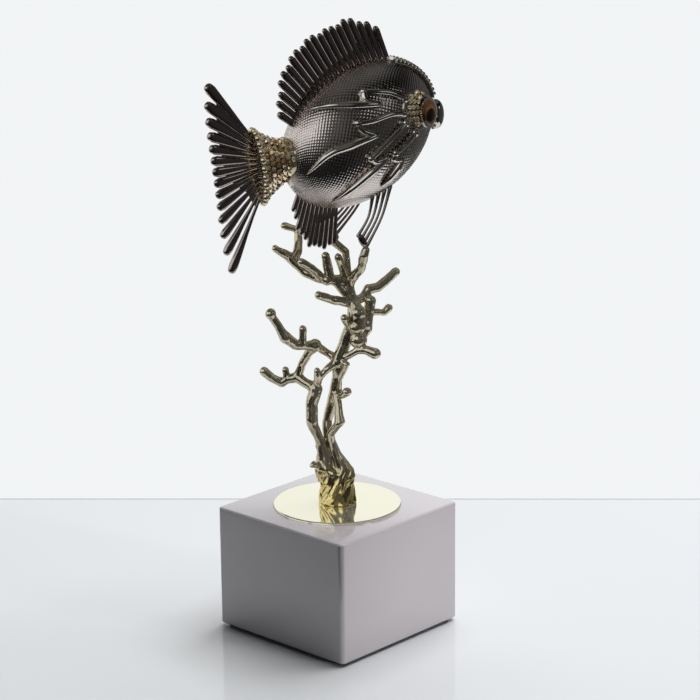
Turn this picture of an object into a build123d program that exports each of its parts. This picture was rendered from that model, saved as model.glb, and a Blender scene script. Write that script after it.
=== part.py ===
"""Fish ornament: a metal fish over a cast coral stem, on a gold disc and a lacquered block.

Millimetres. The origin is the middle of the pad's underside and +Z is up.
The block's faces lie along X and Y.
"""
from build123d import *
from math import atan2, copysign, cos, degrees, hypot, pi, radians, sin, sqrt
import os

os.makedirs("parts", exist_ok=True)

# Base
pad_thickness = 1.5
pad_inset = 2.5
block_width = 80.0
block_height = 58.0
block_corner_radius = 2.4
block_edge_radius = 1.0
disc_diameter = 60.0
disc_thickness = 1.3
disc_chamfer = 0.3

# Fastening inside the block
rod_diameter = 6.0
rod_clearance = 0.3
rod_grip = 11.0
thread_gap = 0.05
nut_flats = 10.0
nut_height = 5.0
washer_diameter = 18.0
washer_thickness = 1.6
pocket_diameter = 26.0
pocket_depth = 14.0
rod_overhang = 2.0

# Coral stem
dome_share = 0.6
fan_yaw = -47.0
foot_diameter = 18.0
foot_height = 16.0
root_count = 6
root_radius = 2.6
root_twist = 75.0
support_radius = 1.5
support_run = 2.5
coral_sides = 8

# Fish body: an egg, carried nose-up and turned away from the coral's fan
fish_reach = 11.0
fish_height = 175.5
fish_yaw = 30.0
fish_pitch = 29.6
half_length = 40.4
half_width = 20.0
half_height = 29.9
shell_wall = 1.2
skin_bands = 24
cavity_bands = 10
seat_gap = 0.1

# Fins
web_thickness = 1.2
tang_depth = 3.0
slot_clearance = 0.1
web_height = 0.55
web_steps = 10
ray_sides = 6
dorsal_rays = 20
dorsal_rear_angle = 137.0
dorsal_front_angle = 35.0
dorsal_ray_radius = 1.4
dorsal_leans = (114, 104, 96, 90, 86, 82)
dorsal_lengths = (8, 17, 21.5, 23, 22.5, 21, 16)
anal_rays = 13
anal_rear_angle = 191.0
anal_front_angle = 221.0
anal_ray_radius = 1.1
anal_leans = (222, 229, 236)
anal_lengths = (5, 13, 18, 18.5, 17)
pelvic_rays = 4
pelvic_ray_radius = 1.0
pelvic_root_length = 8.6
pelvic_root_x = -6.7
pelvic_root_y = 8.9
pelvic_tip_step = 1.7
pelvic_bow = 1.2
tail_rays = 16
tail_upper_lobe = 33.0
tail_lower_lobe = 36.0
tail_notch = 20.5
tail_spread = 57.0
tail_ray_radius = 1.5
tang_inset = 5.4

# Tail stalk
stalk_seat_angle = 162.0
stalk_angle = 158.0
stalk_length = 12.5
stalk_sunk = 8.0
waist_half_height = 9.2
waist_half_width = 7.4
flare_half_height = 16.4
flare_half_width = 6.2
rim_width = 1.2
rim_proud = 0.6
stalk_peg_radius = 4.0
stalk_peg_length = 5.0
crystal_diameter = 2.3
crystal_height = 0.9
crystal_taper = 27.0
crystal_gap = 0.25
glue_gap = 0.08

# Head
crest_half_width = 4.6
crest_thickness = 1.5
crest_mouth_angle = -9.0
crest_gap = 0.4
bead_count = 9
bead_radius = 1.1
mouth_seat_angle = -21.2
mouth_angle = -30.0
mouth_half_width = 4.2
mouth_half_height = 6.2
mouth_length = 7.0
lip_radius = 1.9
lip_steps = 4
eye_along = 0.72
eye_up = -0.21
eye_radius = 6.2
eye_rise = 2.6
bezel_width = 0.7
bezel_rise = 1.5
mask_along = 0.61
mask_up = -0.05
mask_radius = 9.4
mask_lip = 0.8
mask_thickness = 0.9

# Sprigs on the flanks
sprig_radius = 1.1
sprig_knob = 1.25
sprig_point = 0.4
sprig_gap = 0.6
sprig_sides = 5
sprig_steps = 3

block_top = pad_thickness + block_height
disc_top = block_top + disc_thickness
crystal_pitch = crystal_diameter + crystal_gap
tang_half_height = flare_half_height - tang_inset

# The coral's fan plane: x across the fan, y through it, z up from the disc
fan = Plane((0, 0, disc_top), x_dir=Vector(1, 0, 0).rotate(Axis.Z, fan_yaw), z_dir=(0, 0, 1))

# The fish's frame: x to the nose, y to its left, z to its back
heading = fan_yaw + fish_yaw
nose = Vector(1, 0, 0).rotate(Axis.Y, -fish_pitch).rotate(Axis.Z, heading)
back = Vector(0, 0, 1).rotate(Axis.Y, -fish_pitch).rotate(Axis.Z, heading)
fish = Plane(fan.from_local_coords(Vector(fish_reach, 0, fish_height)), x_dir=nose, z_dir=back)
median = Plane(fish.origin, x_dir=fish.x_dir, z_dir=-fish.y_dir)


def at(x, y, z):
    """A point of the fish's frame."""
    return fish.from_local_coords(Vector(x, y, z))


def along(start, angle, length):
    """A point of the median plane, at a length and an angle from another one."""
    return (start[0] + length * cos(radians(angle)), start[1] + length * sin(radians(angle)))


def egg(grow, bands):
    """The body's egg, grown all round: a loft through ellipses from the tail to the nose."""
    a, b, c = half_length + grow, half_width + grow, half_height + grow
    sections = []
    for step in range(bands + 1):
        turn = pi * (step + 0.5) / (bands + 1)
        with BuildSketch(Plane(at(-a * cos(turn), 0, 0), x_dir=fish.y_dir, z_dir=fish.x_dir)) as ring:
            Ellipse(b * sin(turn), c * sin(turn))
        sections.append(ring.sketch)
    return loft(sections, ruled=True, mode=Mode.PRIVATE)


def egg_rim(angle, grow=0.0):
    """The point of the egg's median outline at a polar angle."""
    a, c = half_length + grow, half_height + grow
    reach = 1 / hypot(cos(radians(angle)) / a, sin(radians(angle)) / c)
    return (reach * cos(radians(angle)), reach * sin(radians(angle)))


def flank(x, z, grow=0.0):
    """The point beside (x, z) on the right flank of the grown egg, and its outward normal."""
    a, b, c = half_length + grow, half_width + grow, half_height + grow
    y = -b * sqrt(1 - (x / a) ** 2 - (z / c) ** 2)
    steep = Vector(x / a**2, y / b**2, z / c**2).normalized()
    return at(x, y, z), at(steep.X, steep.Y, steep.Z) - fish.origin


def mixed(stations, share):
    """The value at a share of the way along a list of evenly spaced values."""
    place = share * (len(stations) - 1)
    first = min(int(place), len(stations) - 2)
    return stations[first] + (place - first) * (stations[first + 1] - stations[first])


def rod(spots, radii, guide, sides, seat=None):
    """A bent, tapering rod through the spots, with a domed end and its root square to the seat's normal."""
    run = spots[-1] - spots[-2]
    spots = list(spots) + [spots[-1] + run.normalized() * (dome_share * radii[-1])]
    radii = list(radii) + [dome_share * radii[-1]]
    sections = []
    across = guide.cross(spots[1] - spots[0])
    for i, radius in enumerate(radii):
        ahead = (spots[min(i + 1, len(spots) - 1)] - spots[max(i - 1, 0)]).normalized()
        if seat and i == 0:
            ahead = seat
        across = across - ahead * across.dot(ahead)
        with BuildSketch(Plane(spots[i], x_dir=across, z_dir=ahead)) as ring:
            RegularPolygon(radius, sides)
        sections.append(ring.sketch)
    return loft(sections, ruled=True, mode=Mode.PRIVATE)


def rhinestone(spot, normal):
    """A flat-backed crystal with a table and five sides, a glue gap above its seat."""
    with BuildSketch(Plane(spot + normal * glue_gap, z_dir=normal)) as girdle:
        RegularPolygon(crystal_diameter / 2, 5)
    return extrude(girdle.sketch, amount=crystal_height, taper=crystal_taper, mode=Mode.PRIVATE)


# The pad glued under the block
with BuildPart() as base_pad:
    with BuildSketch():
        RectangleRounded(block_width - 2 * pad_inset, block_width - 2 * pad_inset, block_corner_radius)
    extrude(amount=pad_thickness)
base_pad.part.label = "base_pad"
export_step(base_pad.part, "parts/base_pad.step")

# The lacquered block, bored for the rod and pocketed for its nut
with BuildPart() as base_block:
    with BuildSketch(Plane.XY.offset(pad_thickness)):
        Rectangle(block_width, block_width)
    extrude(amount=block_height)
    fillet(base_block.edges().filter_by(Axis.Z), block_corner_radius)
    fillet(base_block.faces().sort_by(Axis.Z)[-1].edges(), block_edge_radius)
    with Locations(Plane((0, 0, pad_thickness), x_dir=(1, 0, 0), z_dir=(0, 0, -1))):
        CounterBoreHole(rod_diameter / 2 + rod_clearance, pocket_diameter / 2, pocket_depth, block_height)
base_block.part.label = "base_block"
export_step(base_block.part, "parts/base_block.step")

# The polished disc under the coral's foot
with BuildPart() as disc_plate:
    with BuildSketch(Plane.XY.offset(block_top)):
        Circle(disc_diameter / 2)
        Circle(rod_diameter / 2 + rod_clearance, mode=Mode.SUBTRACT)
    extrude(amount=disc_thickness)
    chamfer(disc_plate.faces().sort_by(Axis.Z)[-1].edges().sort_by(SortBy.LENGTH)[-1], disc_chamfer)
disc_plate.part.label = "disc_plate"
export_step(disc_plate.part, "parts/disc_plate.step")

# The washer, nut and rod in the block's pocket
pocket_roof = pad_thickness + pocket_depth
nut_bottom = pocket_roof - washer_thickness - nut_height
with BuildPart() as base_washer:
    with BuildSketch(Plane.XY.offset(pocket_roof - washer_thickness)):
        Circle(washer_diameter / 2)
        Circle(rod_diameter / 2 + rod_clearance, mode=Mode.SUBTRACT)
    extrude(amount=washer_thickness)
base_washer.part.label = "base_washer"
export_step(base_washer.part, "parts/base_washer.step")

with BuildPart() as base_nut:
    with BuildSketch(Plane.XY.offset(nut_bottom)):
        RegularPolygon(nut_flats / 2, 6, major_radius=False)
        Circle(rod_diameter / 2 + thread_gap, mode=Mode.SUBTRACT)
    extrude(amount=nut_height)
base_nut.part.label = "base_nut"
export_step(base_nut.part, "parts/base_nut.step")

rod_bottom = nut_bottom - rod_overhang
rod_top = disc_top + rod_grip
with BuildPart() as tie_rod:
    with BuildSketch(Plane.XY.offset(rod_bottom)):
        Circle(rod_diameter / 2)
    extrude(amount=rod_top - rod_bottom)
    chamfer(tie_rod.edges().filter_by(GeomType.CIRCLE), rod_diameter / 12)
tie_rod.part.label = "tie_rod"
export_step(tie_rod.part, "parts/tie_rod.step")

# Where the pelvic fins' foremost rays end, and so where the coral's two support tips hold the fish
pelvic_root_z = -half_height * sqrt(
    1 - (pelvic_root_x / half_length) ** 2 - (pelvic_root_y / half_width) ** 2
)
pelvic_reach = {-1: Vector(-18.8, 0, -17.0), 1: Vector(-22.0, 0, -11.6)}


def pelvic_ray(side, number):
    """The root and tip of a pelvic ray, numbered from the rear."""
    share = number / (pelvic_rays - 1)
    root = Vector(
        pelvic_root_x + (share - 0.5) * pelvic_root_length, side * pelvic_root_y, pelvic_root_z + 2.5
    )
    lift = (pelvic_rays - 1 - number) * pelvic_tip_step
    tip = Vector(pelvic_root_x, side * pelvic_root_y, pelvic_root_z) + pelvic_reach[side]
    return root, tip + Vector(-0.2 * lift, 0, lift)


def support_seat(side):
    """The end of a support tip under a pelvic fin, and a spot further down in line with the front ray."""
    root, tip = pelvic_ray(side, pelvic_rays - 1)
    down = (tip - root).normalized()
    end = tip + down * (dome_share * (pelvic_ray_radius + support_radius) + seat_gap)
    lower = end + down * support_run
    return at(end.X, end.Y, end.Z), at(lower.X, lower.Y, lower.Z)


def coral_branch(*stations):
    """A coral branch through (across, through, up, radius) stations of the fan."""
    spots = [fan.from_local_coords(Vector(*station[:3])) for station in stations]
    return rod(spots, [station[3] for station in stations], fan.y_dir, coral_sides)


# The coral: a twisted foot, three stems, and branches that fork, loop back and end in knobs
with BuildPart() as coral_stem:
    with BuildSketch(Plane.XY.offset(disc_top)):
        RegularPolygon(foot_diameter / 2 - 0.6, 12)
    extrude(amount=foot_height, taper=4)
    limbs = []
    for number in range(root_count):
        root_spots = []
        for step in range(4):
            turn = 360 * number / root_count + root_twist * step / 3
            out = foot_diameter / 2 - root_radius - 0.4 * step
            level = disc_top + foot_height * step / 3
            root_spots.append(Vector(out, 0, level).rotate(Axis.Z, turn))
        limbs.append(rod(root_spots, [root_radius] * 4, fan.y_dir, coral_sides))
    # the left stem, its fork and the arm that loops over to the right stem
    limbs.append(coral_branch(
        (-3.5, 0, 12, 6), (-7, -1, 23.5, 5), (-9.5, -2, 31, 3.8), (-11.5, -2, 38.5, 2.9),
        (-11.5, -1, 48, 2.6), (-9.5, 0, 55.5, 2.8),
    ))
    limbs.append(coral_branch(
        (-9.5, 0, 55.5, 2.6), (-14, 2, 57.5, 2.1), (-18, 4, 60, 2.4), (-22.5, 5, 59, 1.9),
        (-25.5, 6, 57, 2.1), (-30, 5, 59.5, 1.8), (-33.5, 4, 63, 1.9),
    ))
    limbs.append(coral_branch((-23, 5, 58.5, 1.5), (-23.5, 5, 63.5, 1.3)))
    limbs.append(coral_branch((-18, 4, 60, 1.8), (-16, 3, 66, 1.7), (-13, 1, 72, 1.7), (-9.5, 0, 76.5, 2.6)))
    limbs.append(coral_branch(
        (-9, 0, 76.5, 2.4), (-14, -2, 77, 1.9), (-18.5, -4, 78, 2.2), (-23, -6, 82, 2.4),
        (-26, -7, 87.5, 1.6), (-28.7, -7.7, 92, 1.6), (-29.5, -8, 94, 2.4),
    ))
    limbs.append(coral_branch((-15, -3, 77.5, 1.5), (-15, -4, 85.5, 1.4)))
    limbs.append(coral_branch((-9.5, 0, 76.5, 1.8), (-4, 3, 72, 1.5), (1.5, 1, 68.5, 1.8)))
    limbs.append(coral_branch(
        (-9.5, 0, 55.5, 1.8), (-8, -2, 61.5, 1.7), (-4, -2, 65.5, 1.5), (1.5, 0, 69.5, 1.8)
    ))
    limbs.append(coral_branch((-8.3, -2, 59.5, 1.5), (-8.6, -4, 65.5, 1.4)))
    limbs.append(coral_branch((-8, -1, 24, 1.7), (-12, -2, 28, 1.4)))
    limbs.append(coral_branch((-6, -3, 20, 1.5), (-10.5, -5, 19.5, 1.2), (-13, -6, 20.5, 1.7)))
    # the right stem with its side strand, ring and knob
    limbs.append(coral_branch(
        (1.5, 0, 12, 6), (-2, 1, 25, 4.6), (-3, 2, 32.5, 3.4), (-4, 3, 39.5, 2.4), (-2.5, 3, 46.5, 2.3),
        (-0.5, 2, 53, 2.6), (0.5, 1, 60.5, 2.2), (1, 0, 68.5, 2.7), (5.5, 0, 81, 2.6), (9, 0, 90, 2.8),
    ))
    limbs.append(coral_branch(
        (4, -2, 12, 5), (0.5, -3, 28, 3.6), (-1, -4, 34, 2.8), (1.5, -5, 40, 2.5), (1, -3, 47, 1.6),
        (0, 1, 54, 1.8),
    ))
    limbs.append(coral_branch((0, 0.5, 52, 1.5), (3, -3, 53, 1.3), (5, -4, 55, 1.9)))
    limbs.append(coral_branch((1, 0, 70, 1.3), (5, -4, 68, 1.2)))
    limbs.append(coral_branch((5.2, -4.4, 69, 1.2), (0.8, 0.8, 58.5, 1.2)))
    limbs.append(coral_branch(
        (1.5, 0, 69, 1.6), (6.5, -3, 72.5, 1.4), (10.5, -4, 75, 1.6), (14, -5, 75.5, 1.8), (18, -6, 74, 2.4)
    ))
    limbs.append(coral_branch((9, 0, 81, 2), (11, -3, 77.5, 1.8), (13.5, -5, 75.2, 1.7)))
    # the crown: three strands, then arms, spikes and the two supports under the fish
    limbs.append(coral_branch((8.5, 0, 88, 2.8), (8.5, 0, 95.5, 2.8), (7, 1, 99.5, 2.6), (5, 2, 108, 2.4)))
    limbs.append(coral_branch((8, 0, 80, 2.4), (11, -3, 86, 3), (10.5, -3, 93, 3), (7.5, 0, 98, 2.4)))
    limbs.append(coral_branch((10.5, -1, 79, 2), (14.5, 1, 84, 2.3), (15, 2, 91, 2.4), (16.5, 2, 97.5, 2.3)))
    limbs.append(coral_branch((14, 0.5, 85, 1.8), (10.5, -2, 91, 2)))
    limbs.append(coral_branch(
        (15, 2, 91.5, 1.6), (20, 4, 91, 1.3), (22.5, 5, 90.5, 1.5), (24.5, 6, 92.5, 1.7)
    ))
    limbs.append(coral_branch(
        (8.5, 0, 96.5, 2), (13, 3, 98.5, 1.8), (15.5, 5, 101.5, 2.1), (20, 6, 102.5, 2.1),
        (24, 8, 105.5, 1.8), (28, 10, 108.5, 1.9),
    ))
    limbs.append(coral_branch((7.5, 0, 83, 1.6), (4, -4, 90.5, 1.4)))
    limbs.append(coral_branch(
        (8, 0, 96.5, 2), (2, -4, 98.5, 1.9), (-3, -7, 100.5, 1.8), (-7.5, -10, 103, 1.5)
    ))
    limbs.append(coral_branch((6.5, 0, 98.5, 1.6), (-0.5, -0.5, 107.5, 1.6)))
    limbs.append(coral_branch(
        (5.5, 2, 106.5, 2.4), (-4, -1, 108, 2.4), (-9.5, 0, 109, 1.9), (-14.5, 1, 111.5, 1.8),
        (-20.5, 2, 118, 2.2), (-27, -2, 123, 1.4),
    ))
    limbs.append(coral_branch(
        (-19, 2, 116.5, 2), (-17, 4, 120, 1.9), (-16.5, 7, 124, 1.7), (-17, 10, 129, 1.7), (-23, 9, 131, 1.6)
    ))
    limbs.append(coral_branch((-5.5, -1, 108.2, 1.7), (-10.5, -5, 114.5, 1.7), (-15, -8, 118, 1.5)))
    limbs.append(coral_branch((-2, -0.5, 107.5, 2), (-4, -3, 119.5, 1.7)))
    limbs.append(coral_branch((5, 2, 107.5, 1.7), (1.5, -2, 119, 1.4)))
    for side, knees in ((-1, ((6, 2, 103.5, 2), (8.5, 0, 109, 2), (12, -3, 113.5, 1.8))),
                        (1, ((5.3, 2, 106, 2), (5.5, 4, 111, 1.8), (5, 5, 119.5, 1.6)))):
        end, lower = support_seat(side)
        spots = [fan.from_local_coords(Vector(*knee[:3])) for knee in knees] + [lower, end]
        limbs.append(rod(spots, [knee[3] for knee in knees] + [1.7, support_radius], fan.y_dir, coral_sides))
    add(limbs, clean=False)
    with Locations((0, 0, disc_top)):
        Cylinder(
            rod_diameter / 2 + thread_gap, rod_grip + thread_gap,
            align=(Align.CENTER, Align.CENTER, Align.MIN), mode=Mode.SUBTRACT,
        )
    split(bisect_by=Plane.XY.offset(disc_top), keep=Keep.TOP)
coral_stem.part.label = "coral_stem"
export_step(coral_stem.part, "parts/coral_stem.step")


def dorsal_ray(share):
    """The root and tip of a dorsal ray, from the rear (0) to the front (1)."""
    root = egg_rim(dorsal_rear_angle + share * (dorsal_front_angle - dorsal_rear_angle))
    return root, along(root, mixed(dorsal_leans, share), mixed(dorsal_lengths, share))


def anal_ray(share):
    """The root and tip of an anal ray, from the rear (0) to the front (1)."""
    root = egg_rim(anal_rear_angle + share * (anal_front_angle - anal_rear_angle))
    return root, along(root, mixed(anal_leans, share), mixed(anal_lengths, share))


def rim_normal(angle):
    """The outward normal of the egg's median outline at a polar angle."""
    x, z = egg_rim(angle)
    steep = Vector(x / half_length**2, 0, z / half_height**2).normalized()
    return at(steep.X, 0, steep.Z) - fish.origin


def seam_web(ray):
    """The outline of a seam fin's web, from its tang inside the body up between its rays."""
    low = []
    high = []
    for step in range(web_steps + 1):
        root, tip = ray(step / web_steps)
        inside = 1 - tang_depth / hypot(*root)
        low.append((root[0] * inside, root[1] * inside))
        high.append((root[0] + web_height * (tip[0] - root[0]), root[1] + web_height * (tip[1] - root[1])))
    return low + [ray(1)[0]] + high[::-1] + [ray(0)[0]]


def seam_slot(rear_angle, front_angle):
    """The slot that a seam fin's tang takes in the two shells: a sector of the median plane."""
    spare = copysign(degrees(slot_clearance / half_height), front_angle - rear_angle)
    first = rear_angle - spare
    turn = front_angle + spare - first
    low = []
    high = []
    for step in range(web_steps + 1):
        x, z = egg_rim(first + turn * step / web_steps)
        inside = 1 - (tang_depth + slot_clearance) / hypot(x, z)
        low.append((x * inside, z * inside))
        high.append((x * 2, z * 2))
    with BuildPart() as slot:
        with BuildSketch(median):
            with BuildLine():
                Polyline(*low, *high[::-1], close=True)
            make_face()
        extrude(amount=web_thickness / 2 + slot_clearance, both=True)
    return slot.part


def seam_rays(ray, count, radius):
    """A seam fin's rays, each seated on the shells and clubbed at its tip."""
    rays = []
    for number in range(count):
        root, tip = ray(number / (count - 1))
        seat = rim_normal(degrees(atan2(root[1], root[0])))
        spots = [at(root[0], 0, root[1]) + seat * seat_gap, at(tip[0], 0, tip[1])]
        rays.append(rod(spots, [0.9 * radius, radius], fish.y_dir, ray_sides, seat))
    return rays


# The dorsal fin: clubbed rays on a thin web, with a tang clamped in the body's seam
with BuildPart() as dorsal_fin:
    with BuildSketch(median):
        with BuildLine():
            Polyline(*seam_web(dorsal_ray), close=True)
        make_face()
    extrude(amount=web_thickness / 2, both=True)
    add(seam_rays(dorsal_ray, dorsal_rays, dorsal_ray_radius))
dorsal_fin.part.label = "dorsal_fin"
export_step(dorsal_fin.part, "parts/dorsal_fin.step")

# The anal fin, made and held in the same way
with BuildPart() as anal_fin:
    with BuildSketch(median):
        with BuildLine():
            Polyline(*seam_web(anal_ray), close=True)
        make_face()
    extrude(amount=web_thickness / 2, both=True)
    add(seam_rays(anal_ray, anal_rays, anal_ray_radius))
anal_fin.part.label = "anal_fin"
export_step(anal_fin.part, "parts/anal_fin.step")

# The tail stalk's frame: z along the stalk to the tail, x across the fish
stalk_dir = at(cos(radians(stalk_angle)), 0, sin(radians(stalk_angle))) - fish.origin
stalk_seat = egg_rim(stalk_seat_angle)
stalk = Plane(at(stalk_seat[0], 0, stalk_seat[1]), x_dir=-fish.y_dir, z_dir=stalk_dir)
stalk_end = stalk_length + rim_width
stalk_flank = hypot(stalk_length, flare_half_height - waist_half_height)


def stalk_section(run):
    """The stalk's half width and half height, from its waist (0) to its flared end."""
    flare = max(run, 0) / stalk_length
    half_w = waist_half_width + (flare_half_width - waist_half_width) * flare
    half_h = waist_half_height + (flare_half_height - waist_half_height) * flare**1.6
    return half_w, half_h


def tail_ray(share):
    """The root and tip of a tail ray in the stalk's frame, as (up, along), from the top (1) down to -1."""
    lean = radians(tail_spread * share)
    lobe = tail_upper_lobe if share > 0 else tail_lower_lobe
    length = tail_notch + (lobe - tail_notch) * abs(share) ** 2.2
    up = share * (flare_half_height - 2 * tail_ray_radius)
    return (up, stalk_end), (up + length * sin(lean), stalk_end + length * cos(lean))


def on_stalk(up, run):
    """A point of the stalk's frame on the median plane."""
    return stalk.from_local_coords(Vector(0, up, run))


tail_side = Plane(stalk.origin, x_dir=stalk.y_dir, z_dir=stalk.x_dir)


def tail_web():
    """The outline of the tail fin's web above the stalk's end."""
    high = []
    for step in range(-web_steps, web_steps + 1):
        root, tip = tail_ray(step / web_steps)
        high.append((root[0] + web_height * (tip[0] - root[0]), root[1] + web_height * (tip[1] - root[1])))
    low = [tail_ray(1)[0], tail_ray(-1)[0]]
    return [(up, run + seat_gap) for up, run in low] + high


# The flared stalk: a peg in the body, a hollow-sided trumpet and a rim round its slotted end
with BuildPart() as tail_stalk:
    for step in range(-2, 5):
        run = stalk_length * step / 4
        with BuildSketch(stalk.offset(run)):
            Ellipse(*stalk_section(run))
    loft(ruled=True)
    with BuildSketch(stalk.offset(stalk_length)):
        Ellipse(flare_half_width + rim_proud, flare_half_height + rim_proud)
    extrude(amount=rim_width)
    add(egg(0, skin_bands), mode=Mode.SUBTRACT)
    with BuildSketch(stalk):
        Circle(stalk_peg_radius)
    extrude(amount=-(stalk_peg_length + shell_wall))
    with BuildSketch(stalk.offset(stalk_end)):
        Rectangle(web_thickness + 2 * slot_clearance, 2 * (tang_half_height + slot_clearance))
    extrude(amount=-(tang_depth + slot_clearance), mode=Mode.SUBTRACT)
tail_stalk.part.label = "tail_stalk"
export_step(tail_stalk.part, "parts/tail_stalk.step")

# The tail fin: a fan of rays, longest at its two lobes, on a web with a tang
with BuildPart() as tail_fin:
    with BuildSketch(tail_side):
        with BuildLine():
            Polyline(*tail_web(), close=True)
        make_face()
    extrude(amount=web_thickness / 2, both=True)
    with BuildSketch(stalk.offset(stalk_end - tang_depth)):
        Rectangle(web_thickness, 2 * tang_half_height)
    extrude(amount=tang_depth + 2 * tail_ray_radius)
    tail_rods = []
    for number in range(tail_rays):
        root, tip = tail_ray(2 * number / (tail_rays - 1) - 1)
        spots = [on_stalk(root[0], root[1] + seat_gap), on_stalk(*tip)]
        radii = [0.75 * tail_ray_radius, tail_ray_radius]
        tail_rods.append(rod(spots, radii, fish.y_dir, ray_sides, stalk.z_dir))
    add(tail_rods)
tail_fin.part.label = "tail_fin"
export_step(tail_fin.part, "parts/tail_fin.step")


def section_point(run, turn):
    """A point of the stalk's flank at a turn round it, and the flank's outward normal there."""
    step = 0.01
    half_w, half_h = stalk_section(run)
    next_w, next_h = stalk_section(run + step)
    here = Vector(half_w * cos(turn), half_h * sin(turn), run)
    ahead = Vector(next_w * cos(turn), next_h * sin(turn), run + step) - here
    round_about = Vector(-half_w * sin(turn), half_h * cos(turn), 0)
    normal = round_about.cross(ahead).normalized()
    spot = stalk.from_local_coords(here)
    return spot, stalk.from_local_coords(here + normal) - spot


def egg_level(spot):
    """How far out a point lies from the fish's middle, as a share of the egg; 1 is on its skin."""
    local = fish.to_local_coords(spot)
    return hypot(local.X / half_length, local.Y / half_width, local.Z / half_height)


def even_turns(half_w, half_h, first):
    """Turns round an ellipse that set crystals one pitch apart, from a first share of a pitch."""
    fine = 720
    girth = 0.0
    reached = []
    for step in range(fine):
        turn = 2 * pi * (step + 0.5) / fine
        reached.append((girth, turn))
        girth += hypot(half_w * sin(turn), half_h * cos(turn)) * 2 * pi / fine
    count = int(girth / crystal_pitch)
    wanted = [girth * (number + first) / count for number in range(count)]
    return [min(reached, key=lambda pair: abs(pair[0] - want))[1] for want in wanted]


# The crystals round the stalk, in rows that step by half a stone
with BuildPart() as tail_crystals:
    stones = []
    row_count = int(stalk_flank / crystal_pitch)
    for row in range(row_count):
        run = stalk_length * (row + 0.55) / row_count
        for turn in even_turns(*stalk_section(run), first=0.5 * (row % 2)):
            spot, normal = section_point(run, turn)
            if egg_level(spot) > 1 + crystal_diameter / half_height:
                stones.append(rhinestone(spot, normal))
    add(stones, clean=False)
tail_crystals.part.label = "tail_crystals"
export_step(tail_crystals.part, "parts/tail_crystals.step")

# The two half shells, slotted on the seam for the fins and bored for the stalk's peg
with BuildPart() as body_shell_right:
    add(egg(0, skin_bands))
    add(egg(-shell_wall, cavity_bands), mode=Mode.SUBTRACT)
    split(bisect_by=median, keep=Keep.TOP)
    add(seam_slot(dorsal_rear_angle, dorsal_front_angle), mode=Mode.SUBTRACT)
    add(seam_slot(anal_rear_angle, anal_front_angle), mode=Mode.SUBTRACT)
    with BuildSketch(stalk):
        Circle(stalk_peg_radius + slot_clearance)
    extrude(amount=-2 * stalk_sunk, mode=Mode.SUBTRACT)
body_shell_right.part.label = "body_shell_right"
export_step(body_shell_right.part, "parts/body_shell_right.step")

with BuildPart() as body_shell_left:
    mirror(body_shell_right.part, about=median)
body_shell_left.part.label = "body_shell_left"
export_step(body_shell_left.part, "parts/body_shell_left.step")


def belly_seat(x, y):
    """The point of the egg's belly under (x, y) and its outward normal."""
    z = -half_height * sqrt(1 - (x / half_length) ** 2 - (y / half_width) ** 2)
    steep = Vector(x / half_length**2, y / half_width**2, z / half_height**2).normalized()
    return at(x, y, z), at(steep.X, steep.Y, steep.Z) - fish.origin


def pelvic_fin(side):
    """Rays from the belly that run together towards one tip."""
    rays = []
    for number in range(pelvic_rays):
        root, tip = pelvic_ray(side, number)
        spot, normal = belly_seat(root.X, root.Y)
        bow = (root + tip) * 0.5 + Vector(pelvic_bow, 0, -pelvic_bow)
        spots = [spot + normal * seat_gap, at(bow.X, bow.Y, bow.Z), at(tip.X, tip.Y, tip.Z)]
        radii = [1.2 * pelvic_ray_radius, pelvic_ray_radius, pelvic_ray_radius]
        rays.append(rod(spots, radii, fish.y_dir, ray_sides, normal))
    return rays


with BuildPart() as pelvic_fin_right:
    add(pelvic_fin(-1))
pelvic_fin_right.part.label = "pelvic_fin_right"
export_step(pelvic_fin_right.part, "parts/pelvic_fin_right.step")

with BuildPart() as pelvic_fin_left:
    add(pelvic_fin(1))
pelvic_fin_left.part.label = "pelvic_fin_left"
export_step(pelvic_fin_left.part, "parts/pelvic_fin_left.step")


def crest_bead(angle, y):
    """A bead on the crest, at a polar angle of the median plane and a distance from it."""
    a, b, c = half_length + crest_thickness, half_width + crest_thickness, half_height + crest_thickness
    x, z = (sqrt(1 - (y / b) ** 2) * reach for reach in egg_rim(angle, crest_thickness))
    steep = Vector(x / a**2, y / b**2, z / c**2).normalized()
    normal = at(steep.X, steep.Y, steep.Z) - fish.origin
    spot = at(x, y, z)
    return rod(
        [spot - normal * bead_radius / 2, spot + normal * bead_radius / 4],
        [bead_radius, bead_radius], fish.y_dir, ray_sides, normal,
    )


# The crest: a band over the forehead from the dorsal fin to the mouth, with a row of beads on each edge
crest_top_angle = dorsal_front_angle - degrees((dorsal_ray_radius + crest_gap) / half_height)
with BuildPart() as head_crest:
    with BuildSketch(median):
        with BuildLine():
            Polyline(
                (0, 0),
                along((0, 0), crest_mouth_angle, 2 * half_length),
                along((0, 0), (crest_mouth_angle + crest_top_angle) / 2, 2 * half_length),
                along((0, 0), crest_top_angle, 2 * half_length),
                close=True,
            )
        make_face()
    extrude(amount=crest_half_width, both=True)
    add(egg(crest_thickness, skin_bands), mode=Mode.INTERSECT)
    add(egg(0, skin_bands), mode=Mode.SUBTRACT)
    beads = []
    for number in range(bead_count):
        turn = (number + 0.5) / bead_count * (crest_top_angle - crest_mouth_angle)
        for row in (-1, 1):
            beads.append(crest_bead(crest_mouth_angle + turn, row * (crest_half_width - bead_radius)))
    add(beads, clean=False)
head_crest.part.label = "head_crest"
export_step(head_crest.part, "parts/head_crest.step")

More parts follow.
